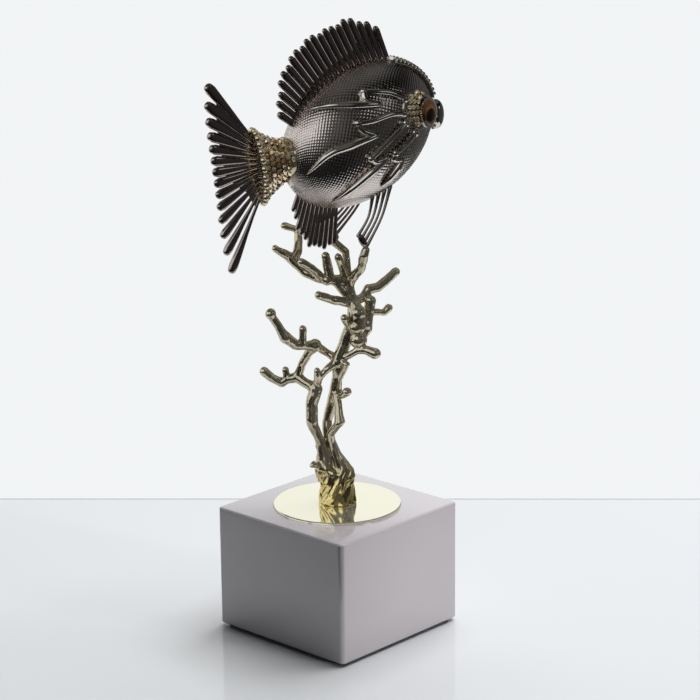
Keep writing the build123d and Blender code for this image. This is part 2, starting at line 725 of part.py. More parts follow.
# The mouth: a short pouting tube with rounded lips round a slot
mouth_dir = at(cos(radians(mouth_angle)), 0, sin(radians(mouth_angle))) - fish.origin
mouth_seat = egg_rim(mouth_seat_angle)
mouth = Plane(at(mouth_seat[0], 0, mouth_seat[1]), x_dir=fish.y_dir, z_dir=mouth_dir)
with BuildPart() as mouth_lips:
    with BuildSketch(mouth.offset(-mouth_length)):
        Ellipse(mouth_half_width, mouth_half_height)
    for step in range(lip_steps + 1):
        bend = pi / 2 * step / lip_steps
        inward = lip_radius * (1 - cos(bend))
        with BuildSketch(mouth.offset(mouth_length - lip_radius * (1 - sin(bend)))):
            Ellipse(mouth_half_width - inward, mouth_half_height - inward)
    loft(ruled=True)
    with BuildSketch(mouth.offset(mouth_length)):
        SlotOverall(mouth_half_height, lip_radius, rotation=90)
    extrude(amount=-mouth_length / 2, mode=Mode.SUBTRACT)
    add(egg(0, skin_bands), mode=Mode.SUBTRACT)
mouth_lips.part.label = "mouth_lips"
export_step(mouth_lips.part, "parts/mouth_lips.step")

# The right eye: a crescent plate with a bezel, a glass cabochon in the bezel and crystals on the crescent
eye_spot, eye_normal = flank(eye_along * half_length, eye_up * half_height)
eye = Plane(eye_spot, x_dir=fish.z_dir.cross(eye_normal), z_dir=eye_normal)
mask_x, mask_z = mask_along * half_length, mask_up * half_height
mask_spot, mask_normal = flank(mask_x, mask_z)
mask = Plane(mask_spot, x_dir=fish.z_dir.cross(mask_normal), z_dir=mask_normal)
bezel_radius = eye_radius + seat_gap + bezel_width
eye_top = bezel_rise + eye_rise
eye_dome = (eye_radius**2 + eye_rise**2) / (2 * eye_rise)
with BuildPart() as eye_mask_right:
    with BuildSketch(mask.offset(-mask_radius)):
        Circle(mask_radius)
    extrude(amount=2 * mask_radius)
    with BuildSketch(eye.offset(-bezel_radius)):
        Circle(bezel_radius + mask_lip)
    extrude(amount=2 * bezel_radius)
    add(egg(mask_thickness, skin_bands), mode=Mode.INTERSECT)
    with BuildSketch(eye.offset(-bezel_radius)):
        Circle(bezel_radius)
    extrude(amount=bezel_radius + bezel_rise)
    add(egg(0, skin_bands), mode=Mode.SUBTRACT)
    with BuildSketch(eye.offset(-bezel_radius)):
        Circle(eye_radius + seat_gap)
    extrude(amount=2 * bezel_radius, mode=Mode.SUBTRACT)
eye_mask_right.part.label = "eye_mask_right"
export_step(eye_mask_right.part, "parts/eye_mask_right.step")

with BuildPart() as eye_right:
    with BuildSketch(eye.offset(seat_gap)):
        Circle(eye_radius)
    extrude(amount=eye_top - seat_gap)
    with Locations(eye.offset(eye_top - eye_dome)):
        Sphere(eye_dome, mode=Mode.INTERSECT)
eye_right.part.label = "eye_right"
export_step(eye_right.part, "parts/eye_right.step")

with BuildPart() as mask_crystals_right:
    stones = []
    for row in range(3):
        ring = bezel_radius + mask_lip + crystal_pitch * (row + 0.5)
        in_row = int(2 * pi * ring / crystal_pitch)
        for number in range(in_row):
            turn = 2 * pi * (number + 0.5 * (row % 2)) / in_row
            place = fish.to_local_coords(eye.from_local_coords(Vector(ring * cos(turn), ring * sin(turn), 0)))
            inside = (place.X / half_length) ** 2 + (place.Z / half_height) ** 2 < 0.9
            from_middle = hypot(place.X - mask_x, place.Z - mask_z)
            if inside and from_middle < mask_radius - 0.6 * crystal_diameter:
                stones.append(rhinestone(*flank(place.X, place.Z, mask_thickness)))
    add(stones, clean=False)
mask_crystals_right.part.label = "mask_crystals_right"
export_step(mask_crystals_right.part, "parts/mask_crystals_right.step")

# The left eye, mirrored in the median plane
with BuildPart() as eye_mask_left:
    mirror(eye_mask_right.part, about=median)
eye_mask_left.part.label = "eye_mask_left"
export_step(eye_mask_left.part, "parts/eye_mask_left.step")

with BuildPart() as eye_left:
    mirror(eye_right.part, about=median)
eye_left.part.label = "eye_left"
export_step(eye_left.part, "parts/eye_left.step")

with BuildPart() as mask_crystals_left:
    mirror(mask_crystals_right.part, about=median)
mask_crystals_left.part.label = "mask_crystals_left"
export_step(mask_crystals_left.part, "parts/mask_crystals_left.step")


def flank_rod(places, radii):
    """A wire that lies on the right flank through (x, z) places, with a radius at each."""
    spots = []
    sizes = []
    for i in range(len(places) - 1):
        for part in range(sprig_steps):
            share = part / sprig_steps
            x, z = (places[i][k] + share * (places[i + 1][k] - places[i][k]) for k in (0, 1))
            sizes.append(radii[i] + share * (radii[i + 1] - radii[i]))
            spot, normal = flank(x, z)
            spots.append(spot + normal * (sizes[-1] + 2 * seat_gap))
    spot, normal = flank(*places[-1])
    sizes.append(radii[-1])
    return rod(spots + [spot + normal * (radii[-1] + 2 * seat_gap)], sizes, fish.y_dir, sprig_sides)


# The sprigs: from the mask a vein to a knob, a hook back, and a long spike, in shares of the egg's half
# length and half height; each starts beside the mask at a polar angle round it, and has a mirrored twin
sprigs = (
    (114, ((0.40, 0.45), (0.26, 0.60), (0.15, 0.70)), ((0.11, 0.60), (0.20, 0.45)),
     ((-0.07, 0.67), (-0.25, 0.80), (-0.40, 0.87))),
    (151, ((0.25, 0.23), (0.02, 0.33), (-0.12, 0.42)), ((-0.12, 0.28), (-0.02, 0.12)),
     ((-0.32, 0.22), (-0.57, 0.27), (-0.84, 0.15))),
    (177, ((0.15, -0.06), (-0.05, -0.09), (-0.20, -0.13)), ((-0.16, -0.23), (-0.04, -0.28)),
     ((-0.37, -0.35), (-0.74, -0.48))),
    (220, ((0.25, -0.30), (0.09, -0.31)), ((0.04, -0.38), (0.14, -0.48)),
     ((0.00, -0.58), (-0.19, -0.70))),
)
for number, (start_angle, vein, hook, spike) in enumerate(sprigs, start=1):
    start = along((mask_x, mask_z), start_angle, mask_radius + sprig_gap)
    vein, hook, spike = ([(x * half_length, z * half_height) for x, z in run] for run in (vein, hook, spike))
    vein_radii = [sprig_radius] * len(vein) + [sprig_radius * sprig_knob]
    spike_radii = [sprig_radius] * len(spike) + [sprig_radius * sprig_point]
    with BuildPart() as sprig_right:
        add([
            flank_rod([start] + vein, vein_radii),
            flank_rod([vein[-1]] + hook, [sprig_radius] * (len(hook) + 1)),
            flank_rod([hook[-1]] + spike, spike_radii),
        ])
    sprig_right.part.label = f"sprig_{number}_right"
    export_step(sprig_right.part, f"parts/sprig_{number}_right.step")
    with BuildPart() as sprig_left:
        mirror(sprig_right.part, about=median)
    sprig_left.part.label = f"sprig_{number}_left"
    export_step(sprig_left.part, f"parts/sprig_{number}_left.step")
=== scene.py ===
import math

import bmesh
import bpy
from mathutils import Matrix, Vector, noise


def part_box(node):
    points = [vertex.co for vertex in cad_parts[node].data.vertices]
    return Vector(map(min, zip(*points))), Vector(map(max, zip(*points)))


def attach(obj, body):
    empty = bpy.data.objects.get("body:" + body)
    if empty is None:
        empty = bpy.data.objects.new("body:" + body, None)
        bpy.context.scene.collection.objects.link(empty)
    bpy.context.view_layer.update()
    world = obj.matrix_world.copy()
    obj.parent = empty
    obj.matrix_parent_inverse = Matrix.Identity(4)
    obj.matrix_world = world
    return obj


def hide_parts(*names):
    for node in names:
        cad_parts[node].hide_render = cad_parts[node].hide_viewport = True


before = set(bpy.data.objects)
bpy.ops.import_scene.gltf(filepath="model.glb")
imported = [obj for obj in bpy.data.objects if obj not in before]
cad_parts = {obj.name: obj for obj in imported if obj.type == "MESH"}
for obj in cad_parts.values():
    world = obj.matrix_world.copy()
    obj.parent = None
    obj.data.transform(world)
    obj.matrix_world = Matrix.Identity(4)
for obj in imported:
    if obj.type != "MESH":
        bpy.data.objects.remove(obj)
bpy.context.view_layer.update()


# The pad under the block
# A thin square of black foam rubber that keeps the lacquer off the table. It is glued to the block,
# and its open cells give it a dull, speckled face.

pad_black = (0.012, 0.012, 0.013, 1)
pad_speck = (0.05, 0.05, 0.052, 1)
pad_roughness = 0.9
pad_cell_scale = 1500.0
pad_cell_bump = 0.6
pad_cell_depth = 0.0003


def new_material(name):
    """A node material, with its node tree and its shader."""
    material = bpy.data.materials.new(name)
    material.use_nodes = True
    return material, material.node_tree, material.node_tree.nodes["Principled BSDF"]


def set_inputs(tree, node, inputs):
    """Sets a node's inputs, each to a plain value or to another node's output."""
    for key, value in inputs.items():
        if isinstance(value, bpy.types.NodeSocket):
            tree.links.new(value, node.inputs[key])
        else:
            node.inputs[key].default_value = value


def add_node(tree, kind, inputs=None, **settings):
    """A shader node with its settings and its inputs."""
    node = tree.nodes.new("ShaderNode" + kind)
    for name, value in settings.items():
        setattr(node, name, value)
    set_inputs(tree, node, inputs or {})
    return node


def mix_colors(tree, factor, first, second, **settings):
    """The output of a colour mix between two colours or sockets."""
    inputs = {0: factor, 6: first, 7: second}
    return add_node(tree, "Mix", inputs, data_type="RGBA", **settings).outputs[2]


def add_bump(tree, shader, height, strength, distance):
    """A bump of a real height, in metres, on a shader's normal."""
    bump = add_node(tree, "Bump", {"Strength": strength, "Distance": distance, "Height": height})
    tree.links.new(bump.outputs["Normal"], shader.inputs["Normal"])


def object_place(tree):
    """The place on the object, in metres."""
    return add_node(tree, "TexCoord").outputs["Object"]


pad_rubber, tree, shader = new_material("pad_rubber")
foam = add_node(tree, "TexVoronoi", {"Vector": object_place(tree), "Scale": pad_cell_scale})
cells = foam.outputs["Distance"]
set_inputs(tree, shader, {
    "Base Color": mix_colors(tree, cells, pad_black, pad_speck), "Roughness": pad_roughness,
})
add_bump(tree, shader, cells, pad_cell_bump, pad_cell_depth)
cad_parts["base_pad"].material_slots[0].material = pad_rubber


# The block
# A square block of wood fibre board under several coats of mauve-grey gloss lacquer, rubbed down and
# polished, with eased edges. The disc and the coral are bolted to its top.

block_corner = 0.0024
block_edge = 0.001
lacquer_color = (0.42, 0.39, 0.41, 1)
lacquer_shade = (0.405, 0.375, 0.396, 1)
lacquer_cloud_scale = 14.0
lacquer_roughness = (0.12, 0.16)
lacquer_coat_roughness = 0.03
peel_scale = 260.0
peel_bump = 0.02
peel_depth = 0.0002


def clouds(tree, scale, detail=2.0, place=None):
    """A cloudy pattern over the object, or over another place, as a value."""
    if place is None:
        place = object_place(tree)
    return add_node(tree, "TexNoise", {"Vector": place, "Scale": scale, "Detail": detail}).outputs["Fac"]


def rescale(tree, value, to_low, to_high, low=0.0, high=1.0, blend="LINEAR"):
    """A value's place in one range, carried over to another range."""
    return add_node(
        tree, "MapRange",
        {"Value": value, "From Min": low, "From Max": high, "To Min": to_low, "To Max": to_high},
        interpolation_type=blend,
    ).outputs["Result"]


def finish_piece(shape, name, material, slot, *nodes, crease=None):
    """Makes a piece of the object from a shape, in place of some of the frame's nodes."""
    bmesh.ops.recalc_face_normals(shape, faces=shape.faces)
    mesh = bpy.data.meshes.new(name)
    shape.to_mesh(mesh)
    shape.free()
    mesh.materials.append(material)
    mesh.shade_smooth()
    if crease is not None:
        mesh.set_sharp_from_angle(angle=math.radians(crease))
    piece = bpy.data.objects.new(name, mesh)
    bpy.context.scene.collection.objects.link(piece)
    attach(piece, "root")
    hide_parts(*nodes)
    return piece


block_low, block_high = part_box("base_block")
block_middle = (block_low + block_high) / 2
block_size = block_high - block_low
shape = bmesh.new()
bmesh.ops.create_cube(
    shape, size=1.0, matrix=Matrix.Translation(block_middle) @ Matrix.Diagonal(block_size).to_4x4()
)
uprights = [e for e in shape.edges if abs(e.verts[0].co.z - e.verts[1].co.z) > block_corner]
bmesh.ops.bevel(
    shape, geom=uprights, offset=block_corner, segments=8, profile=0.5, affect="EDGES", material=-1
)
rims = [e for e in shape.edges if abs(e.verts[0].co.z - e.verts[1].co.z) < 1e-6]
bmesh.ops.bevel(shape, geom=rims, offset=block_edge, segments=5, profile=0.5, affect="EDGES", material=-1)

block_lacquer, tree, shader = new_material("block_lacquer")
coats = clouds(tree, lacquer_cloud_scale, detail=3.0)
set_inputs(tree, shader, {
    "Base Color": mix_colors(tree, coats, lacquer_shade, lacquer_color),
    "Roughness": rescale(tree, coats, *lacquer_roughness),
    "Coat Weight": 1.0, "Coat Roughness": lacquer_coat_roughness,
})
add_bump(tree, shader, clouds(tree, peel_scale, detail=1.0), peel_bump, peel_depth)
finish_piece(shape, "lacquered_block", block_lacquer, "block_lacquer", "base_block", crease=40)


# The tie rod, its washer and its nut
# Zinc-plated steel, shut away between the block and its pad. The rod screws into the coral's foot, and the
# nut pulls it down through the block.

zinc_dark = (0.42, 0.43, 0.45, 1)
zinc_light = (0.62, 0.63, 0.64, 1)
zinc_roughness = (0.28, 0.45)
spangle_scale = 900.0
drawn_scale = 2500.0

zinc_steel, tree, shader = new_material("zinc_steel")
spangle = add_node(tree, "TexVoronoi", {"Vector": object_place(tree), "Scale": spangle_scale})
set_inputs(tree, shader, {
    "Base Color": mix_colors(tree, spangle.outputs["Color"], zinc_dark, zinc_light),
    "Roughness": rescale(tree, clouds(tree, drawn_scale), *zinc_roughness), "Metallic": 1.0,
})
for node_name in ("tie_rod", "base_washer", "base_nut"):
    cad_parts[node_name].material_slots[0].material = zinc_steel


# The gold disc
# A turned brass plate, plated and polished to a mirror, with a small chamfer. It lies on the block under
# the coral's foot and carries the faint rings of its polishing.

disc_low, disc_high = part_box("disc_plate")
disc_radius = (disc_high.x - disc_low.x) / 2
disc_bore = 0.0033
disc_chamfer = 0.0003
disc_steps = 192
gold_color = (0.97, 0.93, 0.72, 1)
gold_pale = (0.99, 0.96, 0.79, 1)
gold_film_scale = 60.0
gold_roughness = (0.03, 0.09)
gold_metallic = 0.9
ring_scale = 2500.0
ring_bump = 0.06
ring_depth = 0.00005


def turn_profile(shape, profile, steps, closed=False):
    """Turns a profile of (radius, level) corners about the upright axis, as a lathe does."""
    corners = [shape.verts.new((radius, 0, level)) for radius, level in profile]
    pairs = list(zip(corners, corners[1:] + corners[:1]))
    edges = [shape.edges.new(pair) for pair in (pairs if closed else pairs[:-1])]
    bmesh.ops.spin(
        shape, geom=corners + edges, cent=(0, 0, 0), axis=(0, 0, 1), angle=2 * math.pi, steps=steps,
        use_merge=True,
    )


shape = bmesh.new()
disc_profile = (
    (disc_bore, disc_low.z), (disc_radius, disc_low.z), (disc_radius, disc_high.z - disc_chamfer),
    (disc_radius - disc_chamfer, disc_high.z), (disc_bore, disc_high.z),
)
turn_profile(shape, disc_profile, disc_steps, closed=True)

mirror_gold, tree, shader = new_material("mirror_gold")
across = add_node(tree, "VectorMath", {0: object_place(tree), 1: (1, 1, 0)}, operation="MULTIPLY")
from_axis = add_node(tree, "VectorMath", {0: across.outputs[0]}, operation="LENGTH").outputs["Value"]
rings = add_node(tree, "TexNoise", {"W": from_axis, "Scale": ring_scale}, noise_dimensions="1D")
film = clouds(tree, gold_film_scale, detail=5.0)
set_inputs(tree, shader, {
    "Base Color": mix_colors(tree, film, gold_color, gold_pale),
    "Roughness": rescale(tree, film, *gold_roughness), "Metallic": gold_metallic,
})
add_bump(tree, shader, rings.outputs["Fac"], ring_bump, ring_depth)
finish_piece(shape, "gold_disc", mirror_gold, "disc_gold", "disc_plate", crease=30)


# The coral stem
# One lost-wax casting in brass with a twisted foot and knobby, forking branches, plated in pale gold. The
# ridges are polished, the hollows are painted dark as shade, and the foot is gilded warmer than the
# branches.

millimetre = 0.001
fan_yaw = -47.0
coral_voxel = 0.00045
ease_share = 0.5
ease_rounds = 8
lump_height = 0.35
lump_size = 4.2
fold_height = 1.1
fold_size = 3.6
fold_top = 40.0
fold_twist = 0.07
fold_stretch = 0.35
fold_crest = 0.35
branch_growth = 0.45
growth_start = 30.0
growth_rise = 20.0
waist_level = 29.0
waist_reach = 12.0
waist_depth = 0.40
waist_ease = 1.5
trunk_foot = 15.0
trunk_lean = 0.37
# coral_hollow is painted shade for the branches' hollows.
coral_hollow = (0.25, 0.21, 0.13, 1)
coral_ridge = (0.74, 0.67, 0.50, 1)
coral_bare = 0.83
foot_gilt = 11.0
foot_tint = (1.18, 1.08, 0.68, 1)
cast_cloud_scale = 90.0
cast_cloud_swing = 0.35
cast_grain_scale = 1400.0
cast_grain_bump = 0.08
cast_grain_depth = 0.00008

# Each knob's place across, through and up the fan of branches, and its radius, in millimetres
knobs = (
    (-33.5, 4, 63, 2.3), (-23.5, 5, 63.5, 1.7), (-29.5, -8, 94, 2.7), (-15, -4, 85.5, 1.8),
    (-8.6, -4, 65.5, 1.7), (-12, -2, 28, 1.9), (-13, -6, 20.5, 2.0), (5, -4, 55, 2.3), (18, -6, 74, 2.8),
    (24.5, 6, 92.5, 2.0), (28, 10, 108.5, 2.2), (4, -4, 90.5, 1.9), (-7.5, -10, 103, 2.0),
    (-27, -2, 123, 1.8), (-23, 9, 131, 1.9), (-15, -8, 118, 1.9), (-4, -3, 119.5, 2.2), (1.5, -2, 119, 1.6),
    (-23, -6, 82, 3.0), (-9.5, 0, 76.5, 3.1), (-18, 4, 60, 2.8), (-25.5, 6, 57, 2.5), (-9.5, 0, 55.5, 3.3),
    (1, 0, 68.5, 3.3), (10.5, -2.5, 79.5, 4.1), (9.5, -3, 86, 3.7), (14, 0.5, 86, 3.0),
    (10.5, -3, 92.5, 3.7), (16, 2, 97, 2.8), (15.5, 5, 101.5, 2.6), (7, 0.5, 98.5, 3.3), (4.5, 2, 107, 3.3),
    (-3.5, -1, 108, 3.0), (-20, 2, 117.5, 2.7), (8.5, 0, 109, 2.5),
)


def combine(tree, first, second, operation, **settings):
    """Two values put together by an operation."""
    return add_node(tree, "Math", {0: first, 1: second}, operation=operation, **settings).outputs[0]


def build_cast_metal():
    """The look of a plated casting: painted shade in the hollows, polished ridges, cloudy plating and a fine
    grain.
    """
    group = bpy.data.node_groups.new("cast_metal", "ShaderNodeTree")
    for way, kind, names in (
        ("INPUT", "Vector", ("Vector",)),
        ("INPUT", "Color", ("Hollow Color", "Ridge Color")),
        ("INPUT", "Float", ("Cloud Scale", "Grain Scale", "Hollow", "Ridge")),
        ("INPUT", "Float", ("Gloss Roughness", "Dull Roughness")),
        ("OUTPUT", "Color", ("Color",)),
        ("OUTPUT", "Float", ("Roughness", "Height")),
    ):
        for name in names:
            group.interface.new_socket(name, in_out=way, socket_type="NodeSocket" + kind)
    given = group.nodes.new("NodeGroupInput").outputs
    cloud = clouds(group, given["Cloud Scale"], detail=4.0, place=given["Vector"])
    pointed = add_node(group, "NewGeometry").outputs["Pointiness"]
    # Painted shade: the colour goes towards the hollow colour where the surface sinks in; the same mask
    # makes the ridges glossier.
    ridge = rescale(group, pointed, 0.0, 1.0, given["Hollow"], given["Ridge"])
    wander = rescale(group, cloud, -cast_cloud_swing, cast_cloud_swing)
    shade_and_polish = combine(group, ridge, wander, "ADD", use_clamp=True)
    set_inputs(group, group.nodes.new("NodeGroupOutput"), {
        "Color": mix_colors(group, shade_and_polish, given["Hollow Color"], given["Ridge Color"]),
        "Roughness": rescale(group, shade_and_polish, given["Dull Roughness"], given["Gloss Roughness"]),
        "Height": clouds(group, given["Grain Scale"], place=given["Vector"]),
    })
    return group


cast_metal = build_cast_metal()


def cast_material(name, hollow, ridge, gloss, dull, hollow_at=0.46, ridge_at=0.54, metallic=1.0):
    """A plated casting's material: its colour on ridges, a darker colour painted as shade in hollows, and
    two roughnesses.
    """
    material, tree, shader = new_material(name)
    metal = add_node(
        tree, "Group",
        {"Vector": object_place(tree), "Hollow Color": hollow, "Ridge Color": ridge,
         "Cloud Scale": cast_cloud_scale, "Grain Scale": cast_grain_scale, "Hollow": hollow_at,
         "Ridge": ridge_at, "Gloss Roughness": gloss, "Dull Roughness": dull},
        node_tree=cast_metal,
    ).outputs
    set_inputs(tree, shader, {
        "Base Color": metal["Color"], "Roughness": metal["Roughness"], "Metallic": metallic,
    })
    add_bump(tree, shader, metal["Height"], cast_grain_bump, cast_grain_depth)
    return material


def add_ball(shape, place, radius, segments):
    """A ball at a place, which may also stretch it."""
    bmesh.ops.create_uvsphere(
        shape, u_segments=segments, v_segments=(2 * segments + 2) // 3, radius=radius, matrix=place
    )


coral_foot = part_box("coral_stem")[0].z
fan_across = Vector((math.cos(math.radians(fan_yaw)), math.sin(math.radians(fan_yaw)), 0))
fan_place = (
    Matrix.Translation((0, 0, coral_foot)) @ Matrix.Rotation(math.radians(fan_yaw), 4, "Z")
    @ Matrix.Scale(millimetre, 4)
)
shape = bmesh.new()
shape.from_mesh(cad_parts["coral_stem"].data)
bmesh.ops.remove_doubles(shape, verts=shape.verts, dist=1e-6)
for *spot, radius in knobs:
    add_ball(shape, fan_place @ Matrix.Translation(spot), radius - branch_growth, segments=20)

coral_gold = cast_material(
    "coral_gold", coral_hollow, coral_ridge, gloss=0.10, dull=0.24, hollow_at=0.41, ridge_at=0.55
)
tree = coral_gold.node_tree
shader = tree.nodes["Principled BSDF"]
level = add_node(tree, "SeparateXYZ", {"Vector": object_place(tree)}).outputs["Z"]
gilt_top = coral_foot + foot_gilt * millimetre
footing = rescale(tree, level, 1.0, 0.0, gilt_top, gilt_top + foot_gilt * millimetre)
plated = shader.inputs["Base Color"].links[0].from_socket
set_inputs(tree, shader, {
    "Base Color": mix_colors(tree, footing, plated, foot_tint, blend_type="MULTIPLY"),
    "Metallic": rescale(tree, footing, coral_bare, 1.0),
})
coral = finish_piece(shape, "coral_branches", coral_gold, "coral_gold", "coral_stem")

melt = coral.modifiers.new("melt", "REMESH")
melt.mode = "VOXEL"
melt.voxel_size = coral_voxel
ease = coral.modifiers.new("ease", "SMOOTH")
ease.factor = ease_share
ease.iterations = ease_rounds
melted = bpy.data.meshes.new_from_object(coral.evaluated_get(bpy.context.evaluated_depsgraph_get()))
coral.modifiers.clear()
coral.data = melted
normals = [v.normal.copy() for v in melted.vertices]
for v, normal in zip(melted.vertices, normals):
    spot = (v.co - Vector((0, 0, coral_foot))) / millimetre
    swell = lump_height * noise.noise(spot / lump_size)
    folds = max(0.0, 1 - spot.z / fold_top)
    twisted = Matrix.Rotation(-spot.z * fold_twist, 3, "Z") @ spot
    crease = abs(noise.noise(Vector((twisted.x, twisted.y, fold_stretch * twisted.z)) / fold_size))
    swell += fold_height * folds * (fold_crest - crease)
    swell += branch_growth * min(max((spot.z - growth_start) / growth_rise, 0.0), 1.0)
    v.co += normal * (swell * millimetre)
    v.co.z = max(v.co.z, coral_foot)
    slim = waist_depth * max(0.0, 1 - ((spot.z - waist_level) / waist_reach) ** 2) ** waist_ease
    trunk = fan_across * (-trunk_lean * max(spot.z - trunk_foot, 0) * millimetre)
    v.co.x += slim * (trunk.x - v.co.x)
    v.co.y += slim * (trunk.y - v.co.y)
melted.shade_smooth()


# The fish's body
# Two half shells of a thin casting, soldered on the seam and plated bronze-black. The mould's knurl leaves
# rows of small diamond scales all over it, with painted shade in the grooves between their crowns.

flanks = ((-1, "right"), (1, "left"))
fish_reach = 11.0
fish_level = 236.3
fish_heading = -17.0
fish_pitch = 29.6
half_length = 40.4
half_width = 20.0
half_height = 29.9
scales_round = 84
scales_along = 56
scale_steps = 6
scale_depth = 0.19
scale_wear = 0.5
scale_wear_size = 0.8
pole_fade = 6.0
pole_reach = 0.2
# body_hollow is painted shade for the grooves between the scales.
body_hollow = (0.17, 0.14, 0.13, 1)
body_ridge = (0.92, 0.835, 0.775, 1)

fish_place = (
    Matrix.Translation(
        (Matrix.Rotation(math.radians(fan_yaw), 4, "Z") @ Vector((fish_reach, 0, fish_level))) * millimetre
    )
    @ Matrix.Rotation(math.radians(fish_heading), 4, "Z")
    @ Matrix.Rotation(math.radians(-fish_pitch), 4, "Y")
    @ Matrix.Scale(millimetre, 4)
)


def place_on_fish(shape):
    """Carries a shape in millimetres of the fish's frame (x nose, y left, z back) to its place."""
    bmesh.ops.transform(shape, matrix=fish_place, verts=shape.verts)


def egg_normal(spot, grow=0.0):
    """The outward normal of the grown egg at a point of it."""
    long, wide, high = half_length + grow, half_width + grow, half_height + grow
    return Vector((spot.x / long**2, spot.y / wide**2, spot.z / high**2)).normalized()


body_chrome = cast_material(
    "body_chrome", body_hollow, body_ridge, gloss=0.08, dull=0.18, hollow_at=0.46, ridge_at=0.53
)
for side, name in flanks:
    shape = bmesh.new()
    bmesh.ops.create_grid(
        shape, x_segments=scales_round * scale_steps // 2, y_segments=scales_along * scale_steps, size=1.0
    )
    for v in shape.verts:
        turn = side * (v.co.x + 1) / 4
        run = (v.co.y + 1) / 2
        ring = math.sin(math.pi * run)
        first = math.sin(math.pi * (turn * scales_round + run * scales_along))
        second = math.sin(math.pi * (turn * scales_round - run * scales_along))
        crown = math.sqrt(abs(first * second)) * min(1.0, pole_fade * ring)
        v.co = Vector((
            half_length * math.cos(math.pi * run), half_width * ring * math.sin(2 * math.pi * turn),
            half_height * ring * math.cos(2 * math.pi * turn),
        ))
        crown *= 1 - scale_wear * abs(noise.noise(v.co * scale_wear_size))
        v.co += egg_normal(v.co) * (scale_depth * (crown - 1.0))
    poles = [v for v in shape.verts if abs(v.co.x) > half_length - pole_reach]
    bmesh.ops.remove_doubles(shape, verts=poles, dist=1e-4)
    bmesh.ops.edgeloop_fill(shape, edges=[e for e in shape.edges if e.is_boundary])
    place_on_fish(shape)
    finish_piece(shape, "body_scales_" + name, body_chrome, "body_chrome", "body_shell_" + name)


# The dorsal and anal fins
# Cast combs of round-ended rays on a thin web, plated black and polished. A tang below the web is clamped
# between the two half shells.

leftward = Vector((0, 1, 0))
dome_bends = (25, 50, 70, 84)
finger_thickness = 3.0
finger_least = 0.75
finger_shares = (0.0, 0.25, 0.5, 0.75, 0.92, 0.98)
finger_tip = 0.8
finger_flatness = 0.85
finger_roundness = 0.7
ray_unevenness = 0.7
ray_waves = 41.0
web_thickness = 0.8
web_steps = 24
tang_depth = 2.0
# fin_hollow is painted shade for the hollows between rays and web.
fin_hollow = (0.12, 0.095, 0.09, 1)
fin_ridge = (0.48, 0.41, 0.385, 1)
fin_chrome = cast_material(
    "fin_chrome", fin_hollow, fin_ridge, gloss=0.06, dull=0.16, hollow_at=0.40, ridge_at=0.56
)


def station(spot, ahead, across, wide=1.0, deep=1.0):
    """A ring's place: its middle, the way it faces, and its two half widths."""
    ahead = ahead.normalized()
    across = (across - ahead * across.dot(ahead)).normalized()
    turned = Matrix((across, ahead.cross(across), ahead)).transposed().to_4x4()
    return Matrix.Translation(spot) @ turned @ Matrix.Diagonal((wide, deep, 1.0, 1.0))


def draw_out(shape, stations, sides=14, roundness=1.0):
    """Draws a ring out through a row of stations and closes both ends; a low roundness squares it."""
    ring = bmesh.ops.create_circle(shape, cap_ends=True, segments=sides, radius=1.0)["verts"]
    for v in ring:
        v.co.x, v.co.y = (math.copysign(abs(part) ** roundness, part) for part in v.co.xy)
    bmesh.ops.transform(shape, matrix=stations[0], verts=ring)
    edges = list(dict.fromkeys(e for v in ring for e in v.link_edges))
    for before, after in zip(stations, stations[1:]):
        grown = bmesh.ops.extrude_edge_only(shape, edges=edges)["geom"]
        ring = {part for part in grown if isinstance(part, bmesh.types.BMVert)}
        edges = [e for e in grown if isinstance(e, bmesh.types.BMEdge) and ring.issuperset(e.verts)]
        bmesh.ops.transform(shape, matrix=after @ before.inverted(), verts=list(ring))
    bmesh.ops.edgeloop_fill(shape, edges=edges)


def add_bar(shape, path, wide, deep, across, sides=14, roundness=1.0):
    """A bar along a path with domed ends; each point has a half width across and one the other way."""
    last = len(path) - 1
    rings = []
    for i, spot in enumerate(path):
        rings.append((spot, path[min(i + 1, last)] - path[max(i - 1, 0)], wide[i], deep[i]))
    for bend in dome_bends:
        lean = math.radians(bend)
        for end, outward in ((0, -1), (-1, 1)):
            ahead = (path[1] - path[0]) if end == 0 else (path[-1] - path[-2])
            rise = ahead.normalized() * (outward * min(wide[end], deep[end]) * math.sin(lean))
            cap = (path[end] + rise, ahead, wide[end] * math.cos(lean), deep[end] * math.cos(lean))
            rings.insert(len(rings) if end else 0, cap)
    stations = [station(spot, ahead, across, *halves) for spot, ahead, *halves in rings]
    draw_out(shape, stations, sides, roundness)


def seam_way(angle):
    """The direction at an angle in the fish's plane of symmetry, in degrees up from its nose."""
    return Vector((math.cos(math.radians(angle)), 0, math.sin(math.radians(angle))))


def egg_rim(angle, grow=0.0):
    """The point of the egg's outline in its plane of symmetry, at a polar angle in degrees."""
    way = seam_way(angle)
    return way / math.hypot(way.x / (half_length + grow), way.z / (half_height + grow))


def mixed(values, share):
    """The value at a share of the way along a row of evenly spaced values."""
    place = share * (len(values) - 1)
    first = min(int(place), len(values) - 2)
    return values[first] + (place - first) * (values[first + 1] - values[first])


def add_fingers(shape, ray, count, gaps):
    """The round-tipped fingers of a fin, each as wide as the room to its neighbours less a gap."""
    for number in range(count):
        root, tip = ray(number / (count - 1))
        sideways = (tip - root).cross(leftward).normalized()
        neighbours = [ray(other / (count - 1)) for other in (number - 1, number + 1) if 0 <= other < count]
        path = [root.lerp(tip, share) for share in finger_shares]
        deep = []
        for spot, share in zip(path, finger_shares):
            rooms = [abs((near.lerp(far, share) - spot).dot(sideways)) for near, far in neighbours]
            deep.append(max((min(rooms) - mixed(gaps, number / (count - 1))) / 2, finger_least))
        deep[-1] *= finger_tip
        wide = [min(finger_thickness / 2, finger_flatness * half) for half in deep]
        add_bar(shape, path, wide, deep, leftward, sides=20, roundness=finger_roundness)


